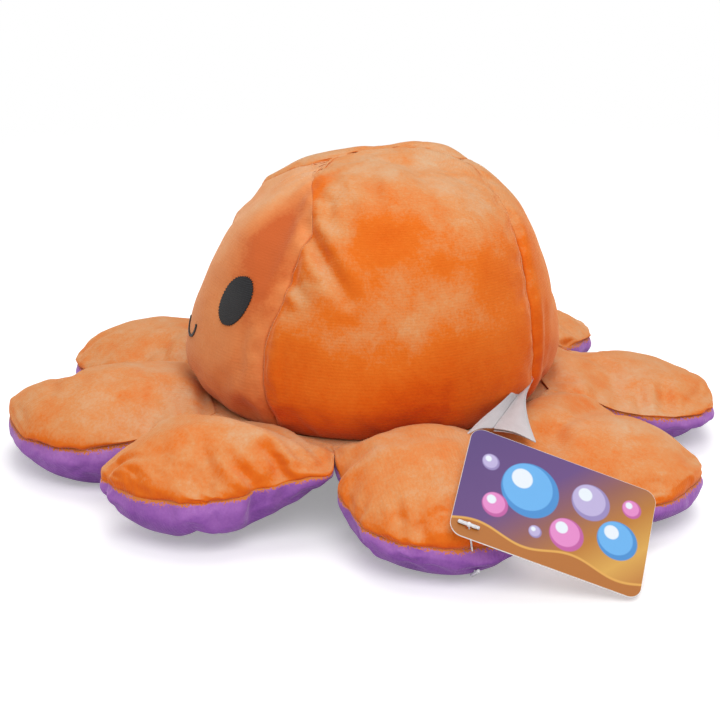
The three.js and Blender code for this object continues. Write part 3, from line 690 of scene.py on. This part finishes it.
# Folds in the head's cloth: headings and shares of the rise along each, depth, width and raised edge
HEAD_FOLDS = [
    ([(-52, 0.585), (-42, 0.51), (-33.5, 0.44), (-27, 0.375)], 4.4, 3.6, 2.2),
    ([(-50, 0.42), (-45, 0.39), (-39, 0.35)], 2.2, 3.0, 1.0),
    ([(-58, 0.73), (-46, 0.66), (-40, 0.6)], 2.0, 4, 0.9),
    ([(-30, 0.84), (-26, 0.74), (-20, 0.66)], 1.5, 5, 0.7),
    ([(-60, 0.8), (-44, 0.72), (-34, 0.65)], 1.3, 3.5, 0.6),
    ([(20, 0.86), (14, 0.76), (10, 0.68)], 1.4, 6, 0.6),
    ([(-60, 0.16), (-68, 0.1), (-74, 0.03)], 1.5, 4, 0.5),
    ([(-82, 0.1), (-90, 0.06)], 1.4, 4, 0.4),
    ([(128, 0.58), (150, 0.5), (165, 0.4)], 4.0, 6, 2.0),
    ([(232, 0.52), (215, 0.45), (205, 0.38)], 3.6, 6, 1.8),
    ([(60, 0.2), (75, 0.26), (95, 0.24)], 2.0, 6, 0.8),
    ([(-78, 0.72), (-66, 0.62), (-60, 0.52), (-58, 0.44)], 3.4, 11, 0.6),
    ([(-104, 0.6), (-99, 0.68), (-92, 0.76), (-80, 0.84)], 1.9, 2.2, 1.4),
    ([(200, 0.2), (215, 0.24), (228, 0.21)], 1.8, 5, 0.7),
]

# Broad hollows where the filling is thin: heading and its spread, height and its spread, depth
HEAD_HOLLOWS = [
    (-117, 17, 96, 28, 10.0), (-112, 22, 140, 16, 4.5), (62, 24, 146, 16, 3.0), (72, 24, 112, 34, 3.0),
]

# Places made deeper, partly where the pile was pressed down by stroking and partly painted shade in the face panel's
# dent beside its near seam: the same numbers, with the deepening last, and a negative one paler
STROKED_PILE_AND_PAINTED_SHADE = [
    (-62, 12, 128, 20, 0.8), (-57, 8, 104, 14, 0.3), (-10, 16, 134, 12, 0.2), (0, 45, 62, 16, 0.12),
    (-38, 8, 112, 16, -0.15), (-12, 22, 96, 16, -0.1),
]


def head_spots(points, spots):
    """Sum of soft spots on the head, each a heading and its spread, a height and its spread, and an amount."""
    heading = np.degrees(np.arctan2(points[:, 1], points[:, 0]))
    total = np.zeros(len(points))
    for turn, spread, level, tall, amount in spots:
        total += amount * np.exp(-(((heading - turn) / spread) ** 2) - ((points[:, 2] - level) / tall) ** 2)
    return total


def seam_heading(seam, rise):
    places, headings = zip(*seam)
    return np.interp(rise, places, headings)


def head_path(way):
    heading, rise = along_way(way, 24)
    return head_skin(radians(heading), rise)


def head_relief(points, seams):
    relief = np.zeros(len(points))
    for seed, path in enumerate(seams):
        dip = seam_dip(points, path, 2.2, 4.0, 0.7, seed)
        relief += dip * (0.3 + 0.7 * rising(-points[:, 2], -135, 12))
    for way, depth, width, shoulder in HEAD_FOLDS:
        relief += fold(points, head_path(way), depth, width, shoulder)
    crown = np.array([0, CROWN_SHIFT, HEAD_TOP])
    away = np.linalg.norm(points - crown, axis=1)
    relief -= 5.0 * np.exp(-((away / 42) ** 4))
    relief += 1.6 * soft_noise(points, 38, 1) + 0.6 * soft_noise(points, 15, 2)
    relief -= head_spots(points, HEAD_HOLLOWS)
    pleats = np.sin(30 * np.arctan2(points[:, 1], points[:, 0]) + 3 * soft_noise(points, 22, 4))
    relief += 0.55 * pleats * hump(away, 46, 20) * (points[:, 0] > 0)
    far_bump = np.exp(-(((points[:, 0] + 20) / 15) ** 2) - ((points[:, 1] - 38) / 17) ** 2)
    return relief + 5.5 * far_bump * (points[:, 2] > 120)


def make_head():
    seam_rise = even(180)
    seams = [
        head_skin(radians(seam_heading(seam, seam_rise)), seam_rise)
        for seam in (FACE_NEAR_SEAM, BACK_NEAR_SEAM, BACK_FAR_SEAM, FACE_FAR_SEAM)
    ]
    panels = {
        "left": (FACE_NEAR_SEAM, BACK_NEAR_SEAM, 0, 48, HEAD_ROWS),
        "back": (BACK_NEAR_SEAM, BACK_FAR_SEAM, 0, 26, BACK_ROWS),
        "right": (BACK_FAR_SEAM, FACE_FAR_SEAM, 0, 48, HEAD_ROWS),
        "face": (FACE_FAR_SEAM, FACE_NEAR_SEAM, 360, 26, FACE_ROWS),
    }
    grids, cuts = [], []
    for first, last, turn, columns, rows in panels.values():
        rise = even(HEAD_ROWS)[None, : rows + 1]
        start = seam_heading(first, rise)
        end = seam_heading(last, rise) + turn
        heading = radians(start + (end - start) * toward_edges(columns)[:, None])
        grids.append(head_skin(heading, rise + 0 * heading))
        cuts.append(np.stack([HEAD_RADIUS * (heading - radians(start)), 190 * (rise + 0 * heading)], axis=-1))
    points, parts, faces = weld(grids)
    away = np.min([path_distance(points, seam)[0] for seam in seams], axis=0)
    held = np.maximum(away < 0.6, points[:, 2] < HEAD_BASE_HEIGHT + 1)
    relief = head_relief(points, seams) * rising(points[:, 2], HEAD_BASE_HEIGHT, 6)
    most = 2.4 - 1.9 * rising(points[:, 2], 125, 15)
    # Deepening by stroking of the pile and by painted shade, for the material
    stroked = head_spots(points, STROKED_PILE_AND_PAINTED_SHADE)
    points = stuff(points, faces, held.astype(float), rising(away, 0, 12), 0.035, most)
    points = points + relief[:, None] * skin_normals(points, faces) + np.array(AXIS)
    made = {}
    for name, part, cut in zip(panels, parts, cuts):
        nodes = [f"head_{name}_panel"] + (["head_filling"] if name == "left" else [])
        # The face panel takes the paler copy: partly nap, partly painted sheen
        material = FACE_NAP_AND_PAINTED_SHEEN if name == "face" else ORANGE
        piece = cloth_piece(f"{name}_gore", points[part], material, cut, stroked_down=stroked[part])
        made[name] = dress(piece, "head", "orange_plush", *nodes, fill=0.9)
    return made


def make_lining():
    rows, columns = 36, 22
    starts = [-52.5, 43, 137, 232.5, 307.5]
    rise = even(rows)[:, None]
    grids, cuts = [], []
    for start, end in zip(starts, starts[1:]):
        heading = radians(start + (end - start) * toward_edges(columns)[None, :])
        grids.append(lining_form(heading + 0 * rise, rise + 0 * heading))
        cuts.append(np.stack([MOUTH_RADIUS * heading + 0 * rise, 110 * rise + 0 * heading], axis=-1))
    points, parts, faces = weld(grids)
    line = even(120)
    seams = [lining_form(np.full(121, radians(start)), line) for start in starts[:4]]
    relief = 0.9 * soft_noise(points, 26, 11)
    for seed, path in enumerate(seams):
        relief += seam_dip(points, path, 1.6, 4, 0.6, seed + 5)
    points = points + relief[:, None] * skin_normals(points, faces) + np.array(AXIS)
    made = {}
    for name, part, cut in zip(("left", "back", "right", "face"), parts, cuts):
        piece = cloth_piece(f"lining_{name}_gore", points[part], PURPLE, cut)
        made[name] = dress(piece, "head", "purple_plush", f"lining_{name}_panel", fill=0.7)
    return made


def make_waist():
    """The two flat bands between head and tentacles, orange above and purple below, gathered where they are sewn."""
    heading = np.linspace(0, 2 * math.pi, 97)[None, :]
    share = even(8)[:, None]
    turn = radians(FIRST_HEADING + 22.5)
    corner = math.pi / 4
    flat = WAIST_APOTHEM / np.cos((heading - turn + corner) % corner - corner / 2)
    for colour, material, height, side in (("orange", ORANGE, 38.0, 1), ("purple", PURPLE, 33.9, -1)):
        distance = MOUTH_RADIUS + SEAM_GAP + (flat + 0.7 - MOUTH_RADIUS) * share
        gathers = 0.35 * np.sin(58 * heading + 2.5 * np.sin(7 * heading)) * np.sin(math.pi * share)
        grid = around(distance, heading, height + gathers + 0 * distance)
        grid[:, -1] = grid[:, 0]
        cut = np.stack([HEAD_RADIUS * heading + 0 * share, distance], axis=-1)
        if side < 0:
            grid, cut = grid[:, ::-1], cut[:, ::-1]
        piece = cloth_piece(f"waist_band_{colour}", grid + np.array(AXIS), material, cut)
        dress(piece, "head", f"{colour}_plush", f"{colour}_waist_ring", fill=0.3)


# Tentacles. Folds in their cloth, by tentacle and side: shares along and across, depth, width and raised edge
LIMB_FOLDS = {
    (0, 1): [
        ([(0.3, 0.6), (0.24, 0.8), (0.2, 0.97)], 2.0, 3, 0.9),
        ([(0.22, 0.55), (0.15, 0.78), (0.12, 0.97)], 1.7, 2.6, 0.8),
        ([(0.75, 0.2), (0.85, 0.5), (0.9, 0.75)], 1.4, 3.5, 0.6),
    ],
    (1, 1): [
        ([(0.14, 0.3), (0.16, 0.58), (0.17, 0.8), (0.17, 1.05)], 2.2, 3, 1.0),
        ([(0.36, 0.72), (0.33, 0.84), (0.31, 0.96)], 1.5, 3, 0.6),
        ([(0.62, -0.55), (0.7, -0.75), (0.75, -0.92)], 1.2, 3, 0.5),
    ],
    (2, 1): [
        ([(0.85, -0.2), (0.87, -0.42), (0.9, -0.62), (0.94, -0.8), (0.96, -1.0)], 2.2, 2.2, 0.9),
        ([(0.62, 1.12), (0.63, 1.0), (0.64, 0.87), (0.65, 0.68), (0.63, 0.5)], 3.4, 2.6, 1.5),
        ([(0.48, 1.12), (0.48, 0.98), (0.48, 0.9), (0.47, 0.8), (0.46, 0.6)], 2.8, 2.6, 1.3),
        ([(0.25, 0.97), (0.23, 0.75), (0.2, 0.5), (0.16, 0.18), (0.13, -0.2)], 2.0, 2.6, 1.0),
        ([(0.34, 0.9), (0.33, 0.7), (0.31, 0.5)], 1.3, 3, 0.6),
    ],
    (2, -1): [
        ([(0.96, -1.0), (0.92, -0.84), (0.86, -0.6)], 1.8, 2.4, 0.8),
        ([(0.62, 1.1), (0.63, 0.97), (0.6, 0.84), (0.54, 0.66)], 2.0, 3.2, 0.9),
        ([(0.48, 1.1), (0.47, 0.97), (0.43, 0.84), (0.38, 0.66)], 1.6, 3.2, 0.8),
    ],
    (3, 1): [
        ([(0.7, -0.58), (0.75, -0.66), (0.84, -0.78), (0.89, -0.9)], 1.8, 2.6, 0.8),
        ([(0.8, -0.5), (0.86, -0.62), (0.92, -0.8), (0.95, -0.95)], 2.0, 2.8, 0.9),
        ([(0.6, -0.82), (0.64, -0.9), (0.67, -1.05)], 1.3, 2.4, 0.5),
        ([(0.12, -0.3), (0.17, -0.6), (0.22, -0.9)], 1.6, 3.2, 0.7),
        ([(0.12, 0.1), (0.15, 0.45), (0.2, 0.8)], 1.4, 4, 0.6),
    ],
    (3, -1): [([(0.6, -0.97), (0.62, -0.85), (0.6, -0.7)], 1.4, 3.5, 0.6)],
    (4, 1): [
        ([(0.26, -0.2), (0.36, -0.36), (0.44, -0.55)], 1.4, 4, 0.6),
        ([(0.86, -0.5), (0.92, -0.62), (0.95, -0.76)], 1.7, 2.8, 0.8),
        ([(0.72, -0.74), (0.77, -0.84), (0.8, -0.94)], 1.4, 2.6, 0.6),
    ],
    (5, 1): [
        ([(0.54, -0.5), (0.51, -0.7), (0.49, -0.95)], 2.2, 3.2, 1.0),
        ([(0.7, -0.4), (0.67, -0.62), (0.65, -0.88)], 1.9, 3.2, 0.9),
        ([(0.3, -0.6), (0.27, -0.8), (0.25, -0.95)], 1.6, 3, 0.7),
    ],
    (6, 1): [
        ([(0.4, 0.5), (0.36, 0.75), (0.34, 0.95)], 2.0, 3.2, 0.9),
        ([(0.74, -0.3), (0.82, -0.55), (0.86, -0.8)], 1.8, 3, 0.8),
        ([(0.2, -0.5), (0.22, -0.75), (0.24, -0.95)], 1.7, 3, 0.7),
    ],
    (7, 1): [
        ([(0.5, -0.5), (0.47, -0.75), (0.46, -0.95)], 2.1, 3.2, 0.9),
        ([(0.8, 0.3), (0.87, 0.55), (0.9, 0.8)], 1.9, 3, 0.8),
        ([(0.25, 0.5), (0.23, 0.75), (0.24, 0.95)], 1.7, 3, 0.7),
    ],
}


FLANK_SHARE = 0.385  # of a tentacle's outline: each flank takes this much, and the tip the rest


def limb_outline(limb, count=400):
    """The seam from the root round the tip and back."""
    along = np.sin(math.pi / 2 * even(count))
    along = np.concatenate([along, along[-2::-1]])
    across = np.where(np.arange(len(along)) <= count, -1.0, 1.0)
    return limb_form(limb, 1, along, across)


def limb_grid(limb, side, rows=40, columns=36):
    """Points of one side, spread evenly between root, flanks and tip, so that no point is shared at the tip."""
    outline = limb_outline(limb)
    travelled = np.concatenate([[0], np.cumsum(np.linalg.norm(np.diff(outline[:, :2], axis=0), axis=1))])
    flank = FLANK_SHARE * travelled[-1]

    def on_outline(distance):
        return np.stack([np.interp(distance, travelled, outline[:, k]) for k in (0, 1)], axis=-1)

    u = (0.45 * even(rows) + 0.55 * np.sin(math.pi / 2 * even(rows)))[:, None]
    v = toward_edges(columns, 0.7)[None, :]
    left, right = on_outline(u * flank), on_outline(travelled[-1] - u * flank)
    root = on_outline(0 * v) * (1 - v[..., None]) + on_outline(travelled[-1] + 0 * v) * v[..., None]
    tip = on_outline(flank + v * (travelled[-1] - 2 * flank))
    u3, v3 = u[..., None], v[..., None]
    corners = (
        (1 - u3) * ((1 - v3) * root[:, :1] + v3 * root[:, -1:])
        + u3 * ((1 - v3) * tip[:, :1] + v3 * tip[:, -1:])
    )
    plan = (1 - v3) * left + v3 * right + (1 - u3) * root + u3 * tip - corners
    along = rising(plan[..., 0] - WAIST_APOTHEM, SEAM_GAP, REACHES[limb])
    near, far = (limb_form(limb, 1, along, 0 * along + side)[..., 1] for side in (1, -1))
    middle = limb_sway(limb, along)
    reach = np.where(plan[..., 1] > middle, near - middle, middle - far)
    across = np.clip((plan[..., 1] - middle) / np.maximum(reach, 1e-6), -1, 1)
    across[1:, 0], across[1:, -1], across[-1] = -1, 1, np.where(v[0] < 0.5, -1, 1)
    points = limb_form(limb, side, along, across)
    points[..., :2] = plan
    return points


def turn_out(points, limb):
    heading = radians(FIRST_HEADING + 45 * limb)
    c, s = math.cos(heading), math.sin(heading)
    x, y = points[..., 0], points[..., 1]
    return np.stack([c * x - s * y + AXIS.x, s * x + c * y + AXIS.y, points[..., 2]], axis=-1)


def make_tentacle(limb):
    body = f"tentacle_{limb + 1}"
    top = limb_grid(limb, 1)
    belly = limb_grid(limb, -1)[:, ::-1]
    cuts = [top[..., :2], belly[..., :2]]
    points, parts, faces = weld([top, belly])
    seam = limb_outline(limb, 100)
    away, _, _ = path_distance(points, seam)
    along = (points[:, 0] - WAIST_APOTHEM) / REACHES[limb]
    held = (along < 0.03).astype(float)
    for part in parts:
        held[part[:, (0, -1)]] = held[part[(0, -1), :]] = 1
    relief = seam_dip(points, seam, 1.2, 2.6, 1.0, limb)
    uneven = 1.5 * soft_noise(points, 30, 20 + limb) + 0.7 * soft_noise(points, 13, 40 + limb)
    relief += uneven * (1 - np.exp(-away / 6))
    middle = points[:, 2] - seam_height(limb, along)
    for side in (1, -1):
        near = np.clip(0.5 + side * middle / 4, 0, 1)
        for way, depth, width, shoulder in LIMB_FOLDS.get((limb, side), []):
            relief += near * fold(points, limb_form(limb, side, *along_way(way, 16)), depth, width, shoulder)
    web = WEB_SHARE + (0.12 if NOTCH_FILLS[limb] else 0)
    free = rising(away, 0, 5) + rising(along - web, -0.05, 0.08)
    relief *= rising(along, 0, 0.06) * np.minimum(free, 1)
    points = stuff(points, faces, held, rising(away, 0, 12), 0.05, np.full(len(points), 3.5))
    points = points + relief[:, None] * skin_normals(points, faces)
    points[:, 2] = np.maximum(points[:, 2], TABLE_GAP)
    for part, cut, colour, slot, word in zip(
        parts, cuts, (ORANGE, PURPLE), ("orange_plush", "purple_plush"), ("top", "bottom")
    ):
        near_seam = np.clip(1 - away[part] / 2.8, 0, 1)
        piece = cloth_piece(f"arm_{limb + 1}_{word}", turn_out(points[part], limb), colour, cut, near_seam=near_seam)
        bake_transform(piece)
        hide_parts(f"{body}_{word}", *([f"{body}_filling"] if word == "top" else []))


# Embroidery


PATCH_START = 9  # each patch is laid on the cloth from this far in front of it
EYE_HALF_WIDTH, EYE_HALF_HEIGHT = 9.2, 13.2
SMILE_RADIUS = 11


def lay_on(patch, cloth, height):
    """Wraps a flat patch onto the cloth behind it, and gives it the thread's thickness."""
    wrap = patch.modifiers.new("wrap", "SHRINKWRAP")
    wrap.target = cloth
    wrap.wrap_method = "PROJECT"
    wrap.use_project_z = True
    wrap.use_positive_direction = False
    wrap.use_negative_direction = True
    wrap.offset = 0.15 * MM
    thick = patch.modifiers.new("thread", "SOLIDIFY")
    thick.thickness = height * MM
    thick.offset = 1
    apply_modifiers(patch)
    apply_place(patch)
    bpy.ops.object.shade_smooth_by_angle(angle=radians(50))


def facing(cloth, heading, height, from_inside=False):
    """Where a level line at this heading meets the cloth, and the axes of a patch that lies on it there."""
    outward = Vector((math.cos(radians(heading)), math.sin(radians(heading)), 0))
    centre = Vector((AXIS.x, AXIS.y, height)) * MM
    surface = BVHTree.FromObject(cloth, bpy.context.evaluated_depsgraph_get())
    if from_inside:
        hit = surface.ray_cast(centre, outward)[0]
        normal = -outward
    else:
        start = centre + outward * 0.3
        step = Vector((0, 0, 12 * MM))
        hit, above, below = (surface.ray_cast(start + k * step, -outward)[0] for k in (0, 1, -1))
        normal = Vector((-outward.y, outward.x, 0)).cross(above - below).normalized()
    up = (Vector((0, 0, 1)) - normal * normal.z).normalized()
    return hit, Matrix((up.cross(normal), up, normal)).transposed()


def new_disc(name, radius):
    """A flat disc of thread, ready to be edited."""
    deselect()
    bpy.ops.mesh.primitive_circle_add(vertices=96, radius=radius * MM, fill_type="NGON")
    disc = bpy.context.object
    disc.name = disc.data.name = name
    disc.data.materials.append(THREAD)
    edit_all()
    return disc


def make_eye(name, cloth, heading, height, lean, share, node, from_inside=False):
    """An oval of satin stitch with the small teeth that the stitches leave along its edge."""
    hit, axes = facing(cloth, heading, height, from_inside)
    turn = (axes @ Matrix.Rotation(radians(lean), 3, "Z")).to_4x4()
    eye = new_disc(name, EYE_HALF_WIDTH * share)
    rim = range(len(eye.data.vertices))
    for thickness in [0.7] + 6 * [1.2]:
        bpy.ops.mesh.inset(thickness=thickness * share * MM)
    bpy.ops.mesh.poke()
    bpy.ops.mesh.select_all(action="SELECT")
    bpy.ops.transform.resize(value=(1, EYE_HALF_HEIGHT / EYE_HALF_WIDTH, 1))
    end_edit()
    for k in rim:
        eye.data.vertices[k].co *= 1 + (0.035 if k % 2 else -0.02) + 0.012 * math.sin(2.6 * k)
    eye.matrix_world = Matrix.Translation(hit + axes.col[2] * PATCH_START * MM) @ turn
    lay_on(eye, cloth, 0.6)
    return dress(eye, "head", "black_thread", node)


def make_mouth(name, cloth, heading, height, share, node, frown=False, from_inside=False):
    """A line of satin stitch along a U: a disc, inset to a ring and cut across."""
    hit, axes = facing(cloth, heading, height, from_inside)
    turn = axes @ Matrix.Rotation(math.pi, 3, "Z") if frown else axes
    mouth = new_disc(name, SMILE_RADIUS * share)
    for _ in range(2):
        bpy.ops.mesh.inset(thickness=0.9 * share * MM)
    bpy.ops.mesh.delete(type="FACE")
    bpy.ops.mesh.select_all(action="SELECT")
    bpy.ops.mesh.bisect(plane_co=(0, 0.8 * share * MM, 0), plane_no=(0, 1, 0), clear_outer=True)
    end_edit()
    mouth.matrix_world = Matrix.Translation(hit + axes.col[2] * PATCH_START * MM) @ turn.to_4x4()
    lay_on(mouth, cloth, 0.5)
    return dress(mouth, "head", "black_thread", node)


# Care label. One ribbon folded in two, sewn into the back seam, and open towards its end like a book. Each line
# runs from the seam to the free end: the left edge, the spine and the right edge, in millimetres from the axis
LABEL_LINES = [
    [(71.4, 57.9, 58.5), (80, 46.4, 57.5), (88.2, 35.3, 54), (97.3, 21.3, 50.8), (106, 10.5, 47.5)],
    [(71.4, 57.9, 55.5), (80.3, 46.2, 52.9), (87.5, 39, 50.2), (95, 31.9, 48.5), (100.4, 26.6, 46.9)],
    [
        (71.4, 57.9, 57), (79.6, 51.3, 54.7), (87.8, 46.8, 53.4),
        (97.7, 44, 49.6), (107.9, 42, 47), (117.7, 40.6, 45.2),
    ],
]


def label_leaf(name, lines, lift, across=12):
    """One leaf of the label between two of its lines. lift raises or lowers its free end."""
    share = even(24)
    edges = []
    for line in lines:
        places, line = np.linspace(0, 1, len(line)), np.array(line)
        edge = np.stack([np.interp(share, places, line[:, k]) for k in range(3)], axis=-1)
        for _ in range(6):
            edge[1:-1] = 0.25 * edge[:-2] + 0.5 * edge[1:-1] + 0.25 * edge[2:]
        edges.append(edge[:, None])
    v = even(across)[None, :, None]
    grid = (1 - v) * edges[0] + v * edges[1]
    grid[..., 2] += 1.6 * np.sin(math.pi * v[..., 0]) * share[:, None] + lift * share[:, None]
    width = np.linalg.norm(grid[-1, -1] - grid[-1, 0])
    length = np.linalg.norm(np.diff(edges[1][:, 0], axis=0), axis=1).sum()
    cut = np.stack([width * v[..., 0] + 0 * grid[..., 0], length * share[:, None] + 0 * grid[..., 0]], axis=-1)
    piece = cloth_piece(name, grid + np.array(AXIS), SATIN, cut, thickness=0.3)
    return piece


def make_label():
    left, spine, right = LABEL_LINES
    under = [(x - 1.5, y + 1.5, z) for x, y, z in right]
    leaves = [("back", (left, spine), 0), ("front", (spine, right), 0), ("under", (spine, under), -1.3)]
    for name, lines, lift in leaves:
        piece = label_leaf(f"label_{name}_leaf", lines, lift)
        start, end = ((Vector(spine[k]) + AXIS) * MM for k in (0, 2))
        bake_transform(piece)
        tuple(start)
        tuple(end)
        if name == "back":
            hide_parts("care_label")


PIN_BAR_HALF, PIN_BAR_RADIUS, PIN_NECK_RADIUS, PIN_KNOB_RADIUS = 5, 0.8, 0.42, 1.15


def make_pin():
    """A nylon tag pin: a bar in front of the card, a filament through the card's hole, and a bar at the cloth."""
    foot_start, foot_end = Vector((150.3, -4.44, 4.3)), Vector((158.4, -4.09, 10.2))
    front = TAG_HOLE + 1.4 * TAG_NORMAL
    foot = (foot_start + foot_end) / 2
    rods = [
        (front - PIN_BAR_HALF * TAG_ALONG, front + PIN_BAR_HALF * TAG_ALONG, PIN_BAR_RADIUS, 16),
        (foot_start, foot_end, PIN_BAR_RADIUS, 16),
        (front, foot, PIN_NECK_RADIUS, 12),
    ]
    made = []
    for start, end, radius, sides in rods:
        way = end - start
        deselect()
        bpy.ops.mesh.primitive_cylinder_add(vertices=sides, radius=radius * MM, depth=way.length * MM)
        rod = bpy.context.object
        bpy.ops.object.mode_set(mode="EDIT")
        bpy.ops.mesh.select_all(action="DESELECT")
        end_edit()
        for face in rod.data.polygons:
            face.select = abs(face.normal.z) > 0.9
        bpy.ops.object.mode_set(mode="EDIT")
        bpy.ops.mesh.bevel(offset=0.45 * radius * MM, segments=3)
        end_edit()
        rod.rotation_euler = way.to_track_quat("Z", "Y").to_euler()
        rod.location = (start + end) / 2 * MM
        made.append(rod)
    deselect()
    bpy.ops.mesh.primitive_uv_sphere_add(segments=16, ring_count=10, radius=PIN_KNOB_RADIUS * MM, location=front * MM)
    made.append(bpy.context.object)
    deselect()
    for rod in made:
        rod.select_set(True)
    bpy.context.view_layer.objects.active = made[0]
    bpy.ops.object.join()
    pin = bpy.context.object
    pin.name = pin.data.name = "nylon_pin"
    apply_place(pin)
    bpy.ops.object.shade_smooth_by_angle(angle=radians(40))
    pin.data.materials.append(NYLON)
    dress(pin, "tentacle_4", "nylon", "tag_pin")


gores = make_head()
lining = make_lining()
make_waist()
for limb in range(TENTACLES):
    make_tentacle(limb)
make_eye("eye_left", gores["face"], -90 + 23.5, 99, -30, 1, "eye_left")
make_eye("eye_right", gores["face"], -90 - 23.5, 99, 30, 1, "eye_right")
make_mouth("smile", gores["face"], -90, 79, 0.72, "mouth")
make_eye("lining_eye_left", lining["face"], -90 + 22, 84, -24, 0.62, "lining_eye_left", from_inside=True)
make_eye("lining_eye_right", lining["face"], -90 - 22, 84, 24, 0.62, "lining_eye_right", from_inside=True)
make_mouth("lining_frown", lining["face"], -90, 66, 0.62, "lining_mouth", frown=True, from_inside=True)
make_label()
make_pin()
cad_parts["hang_tag"].material_slots[0].material = CARD


# Room, light and camera


def make_room():
    """A white table that fades away further out and is clear from below."""
    deselect()
    bpy.ops.mesh.primitive_circle_add(vertices=96, radius=1.6, fill_type="NGON", location=(0, 0, -0.0002))
    floor = bpy.context.object
    floor.name = "white_table"
    material, shader = new_material("white paper sweep")
    path = add(material, "LightPath").outputs
    lift = add(material, "Math", {0: path["Is Camera Ray"], 1: 0.3}, operation="MULTIPLY").outputs[0]
    values = {"Base Color": linear("#f7f7f7"), "Roughness": 0.9, "Emission Color": linear("#ffffff")}
    set_inputs(material, shader, {**values, "Emission Strength": lift})
    place = add(material, "TexCoord").outputs["Object"]
    away = add(material, "VectorMath", {0: place}, operation="LENGTH").outputs["Value"]
    span = {"Value": away, "From Min": 0.3, "From Max": 0.75}
    fade = add(material, "MapRange", span, interpolation_type="SMOOTHSTEP").outputs["Result"]
    below = add(material, "NewGeometry").outputs["Backfacing"]
    hidden = add(material, "Math", {0: fade, 1: below}, operation="MAXIMUM").outputs[0]
    clear = add(material, "BsdfTransparent").outputs["BSDF"]
    mix = add(material, "MixShader", {0: hidden, 1: shader.outputs["BSDF"], 2: clear}).outputs["Shader"]
    set_inputs(material, material.node_tree.nodes["Material Output"], {"Surface": mix})
    floor.data.materials.append(material)


def make_world():
    """Plain white, lit at one level and seen at another, so that the background is white."""
    world = bpy.data.worlds.new("white room")
    bpy.context.scene.world = world
    world.use_nodes = True
    world.node_tree.nodes.clear()
    path = add(world, "LightPath").outputs
    seen = path["Is Camera Ray"]
    for kind in ("Is Glossy Ray", "Is Transmission Ray"):
        seen = add(world, "Math", {0: seen, 1: path[kind]}, operation="MAXIMUM").outputs[0]
    light, backdrop = (
        add(world, "Background", {"Color": (1, 1, 1, 1), "Strength": strength}).outputs[0] for strength in (0.48, 1.0)
    )
    mix = add(world, "MixShader", {0: seen, 1: light, 2: backdrop}).outputs["Shader"]
    add(world, "OutputWorld", {"Surface": mix})


def add_softbox(name, place, size, power):
    lamp = bpy.data.lights.new(name, "AREA")
    lamp.shape = "DISK"
    lamp.size = size
    lamp.energy = power
    softbox = bpy.data.objects.new(name, lamp)
    bpy.context.collection.objects.link(softbox)
    softbox.location = place
    aim = Vector((0, 0, 0.07)) - Vector(place)
    softbox.rotation_euler = aim.to_track_quat("-Z", "Y").to_euler()


PICTURE_SIZE = 720  # pixels of the photograph


def make_camera():
    """The camera stands to the toy's left and a little in front, at 19 degrees above the table."""
    azimuth, elevation, distance = radians(72), radians(18.9), 1000
    back = Vector(
        (math.sin(azimuth) * math.cos(elevation), -math.cos(azimuth) * math.cos(elevation), math.sin(elevation))
    )
    target = Vector((AXIS.x, AXIS.y, 80))
    camera = bpy.data.objects.new("camera", bpy.data.cameras.new("camera"))
    bpy.context.collection.objects.link(camera)
    camera.location = (target + back * distance) * MM
    camera.rotation_euler = back.to_track_quat("Z", "Y").to_euler()
    camera.data.sensor_width = 36
    camera.data.lens = 100
    camera.data.shift_x = -11.5 / PICTURE_SIZE
    camera.data.shift_y = -60 / PICTURE_SIZE
    bpy.context.scene.camera = camera


bpy.context.scene.view_settings.view_transform = "Standard"
make_room()
make_world()
add_softbox("key softbox", (1.0, -0.15, 1.2), 1.0, 11)
add_softbox("overhead softbox", (-0.3, 0.2, 1.5), 1.2, 8)
make_camera()
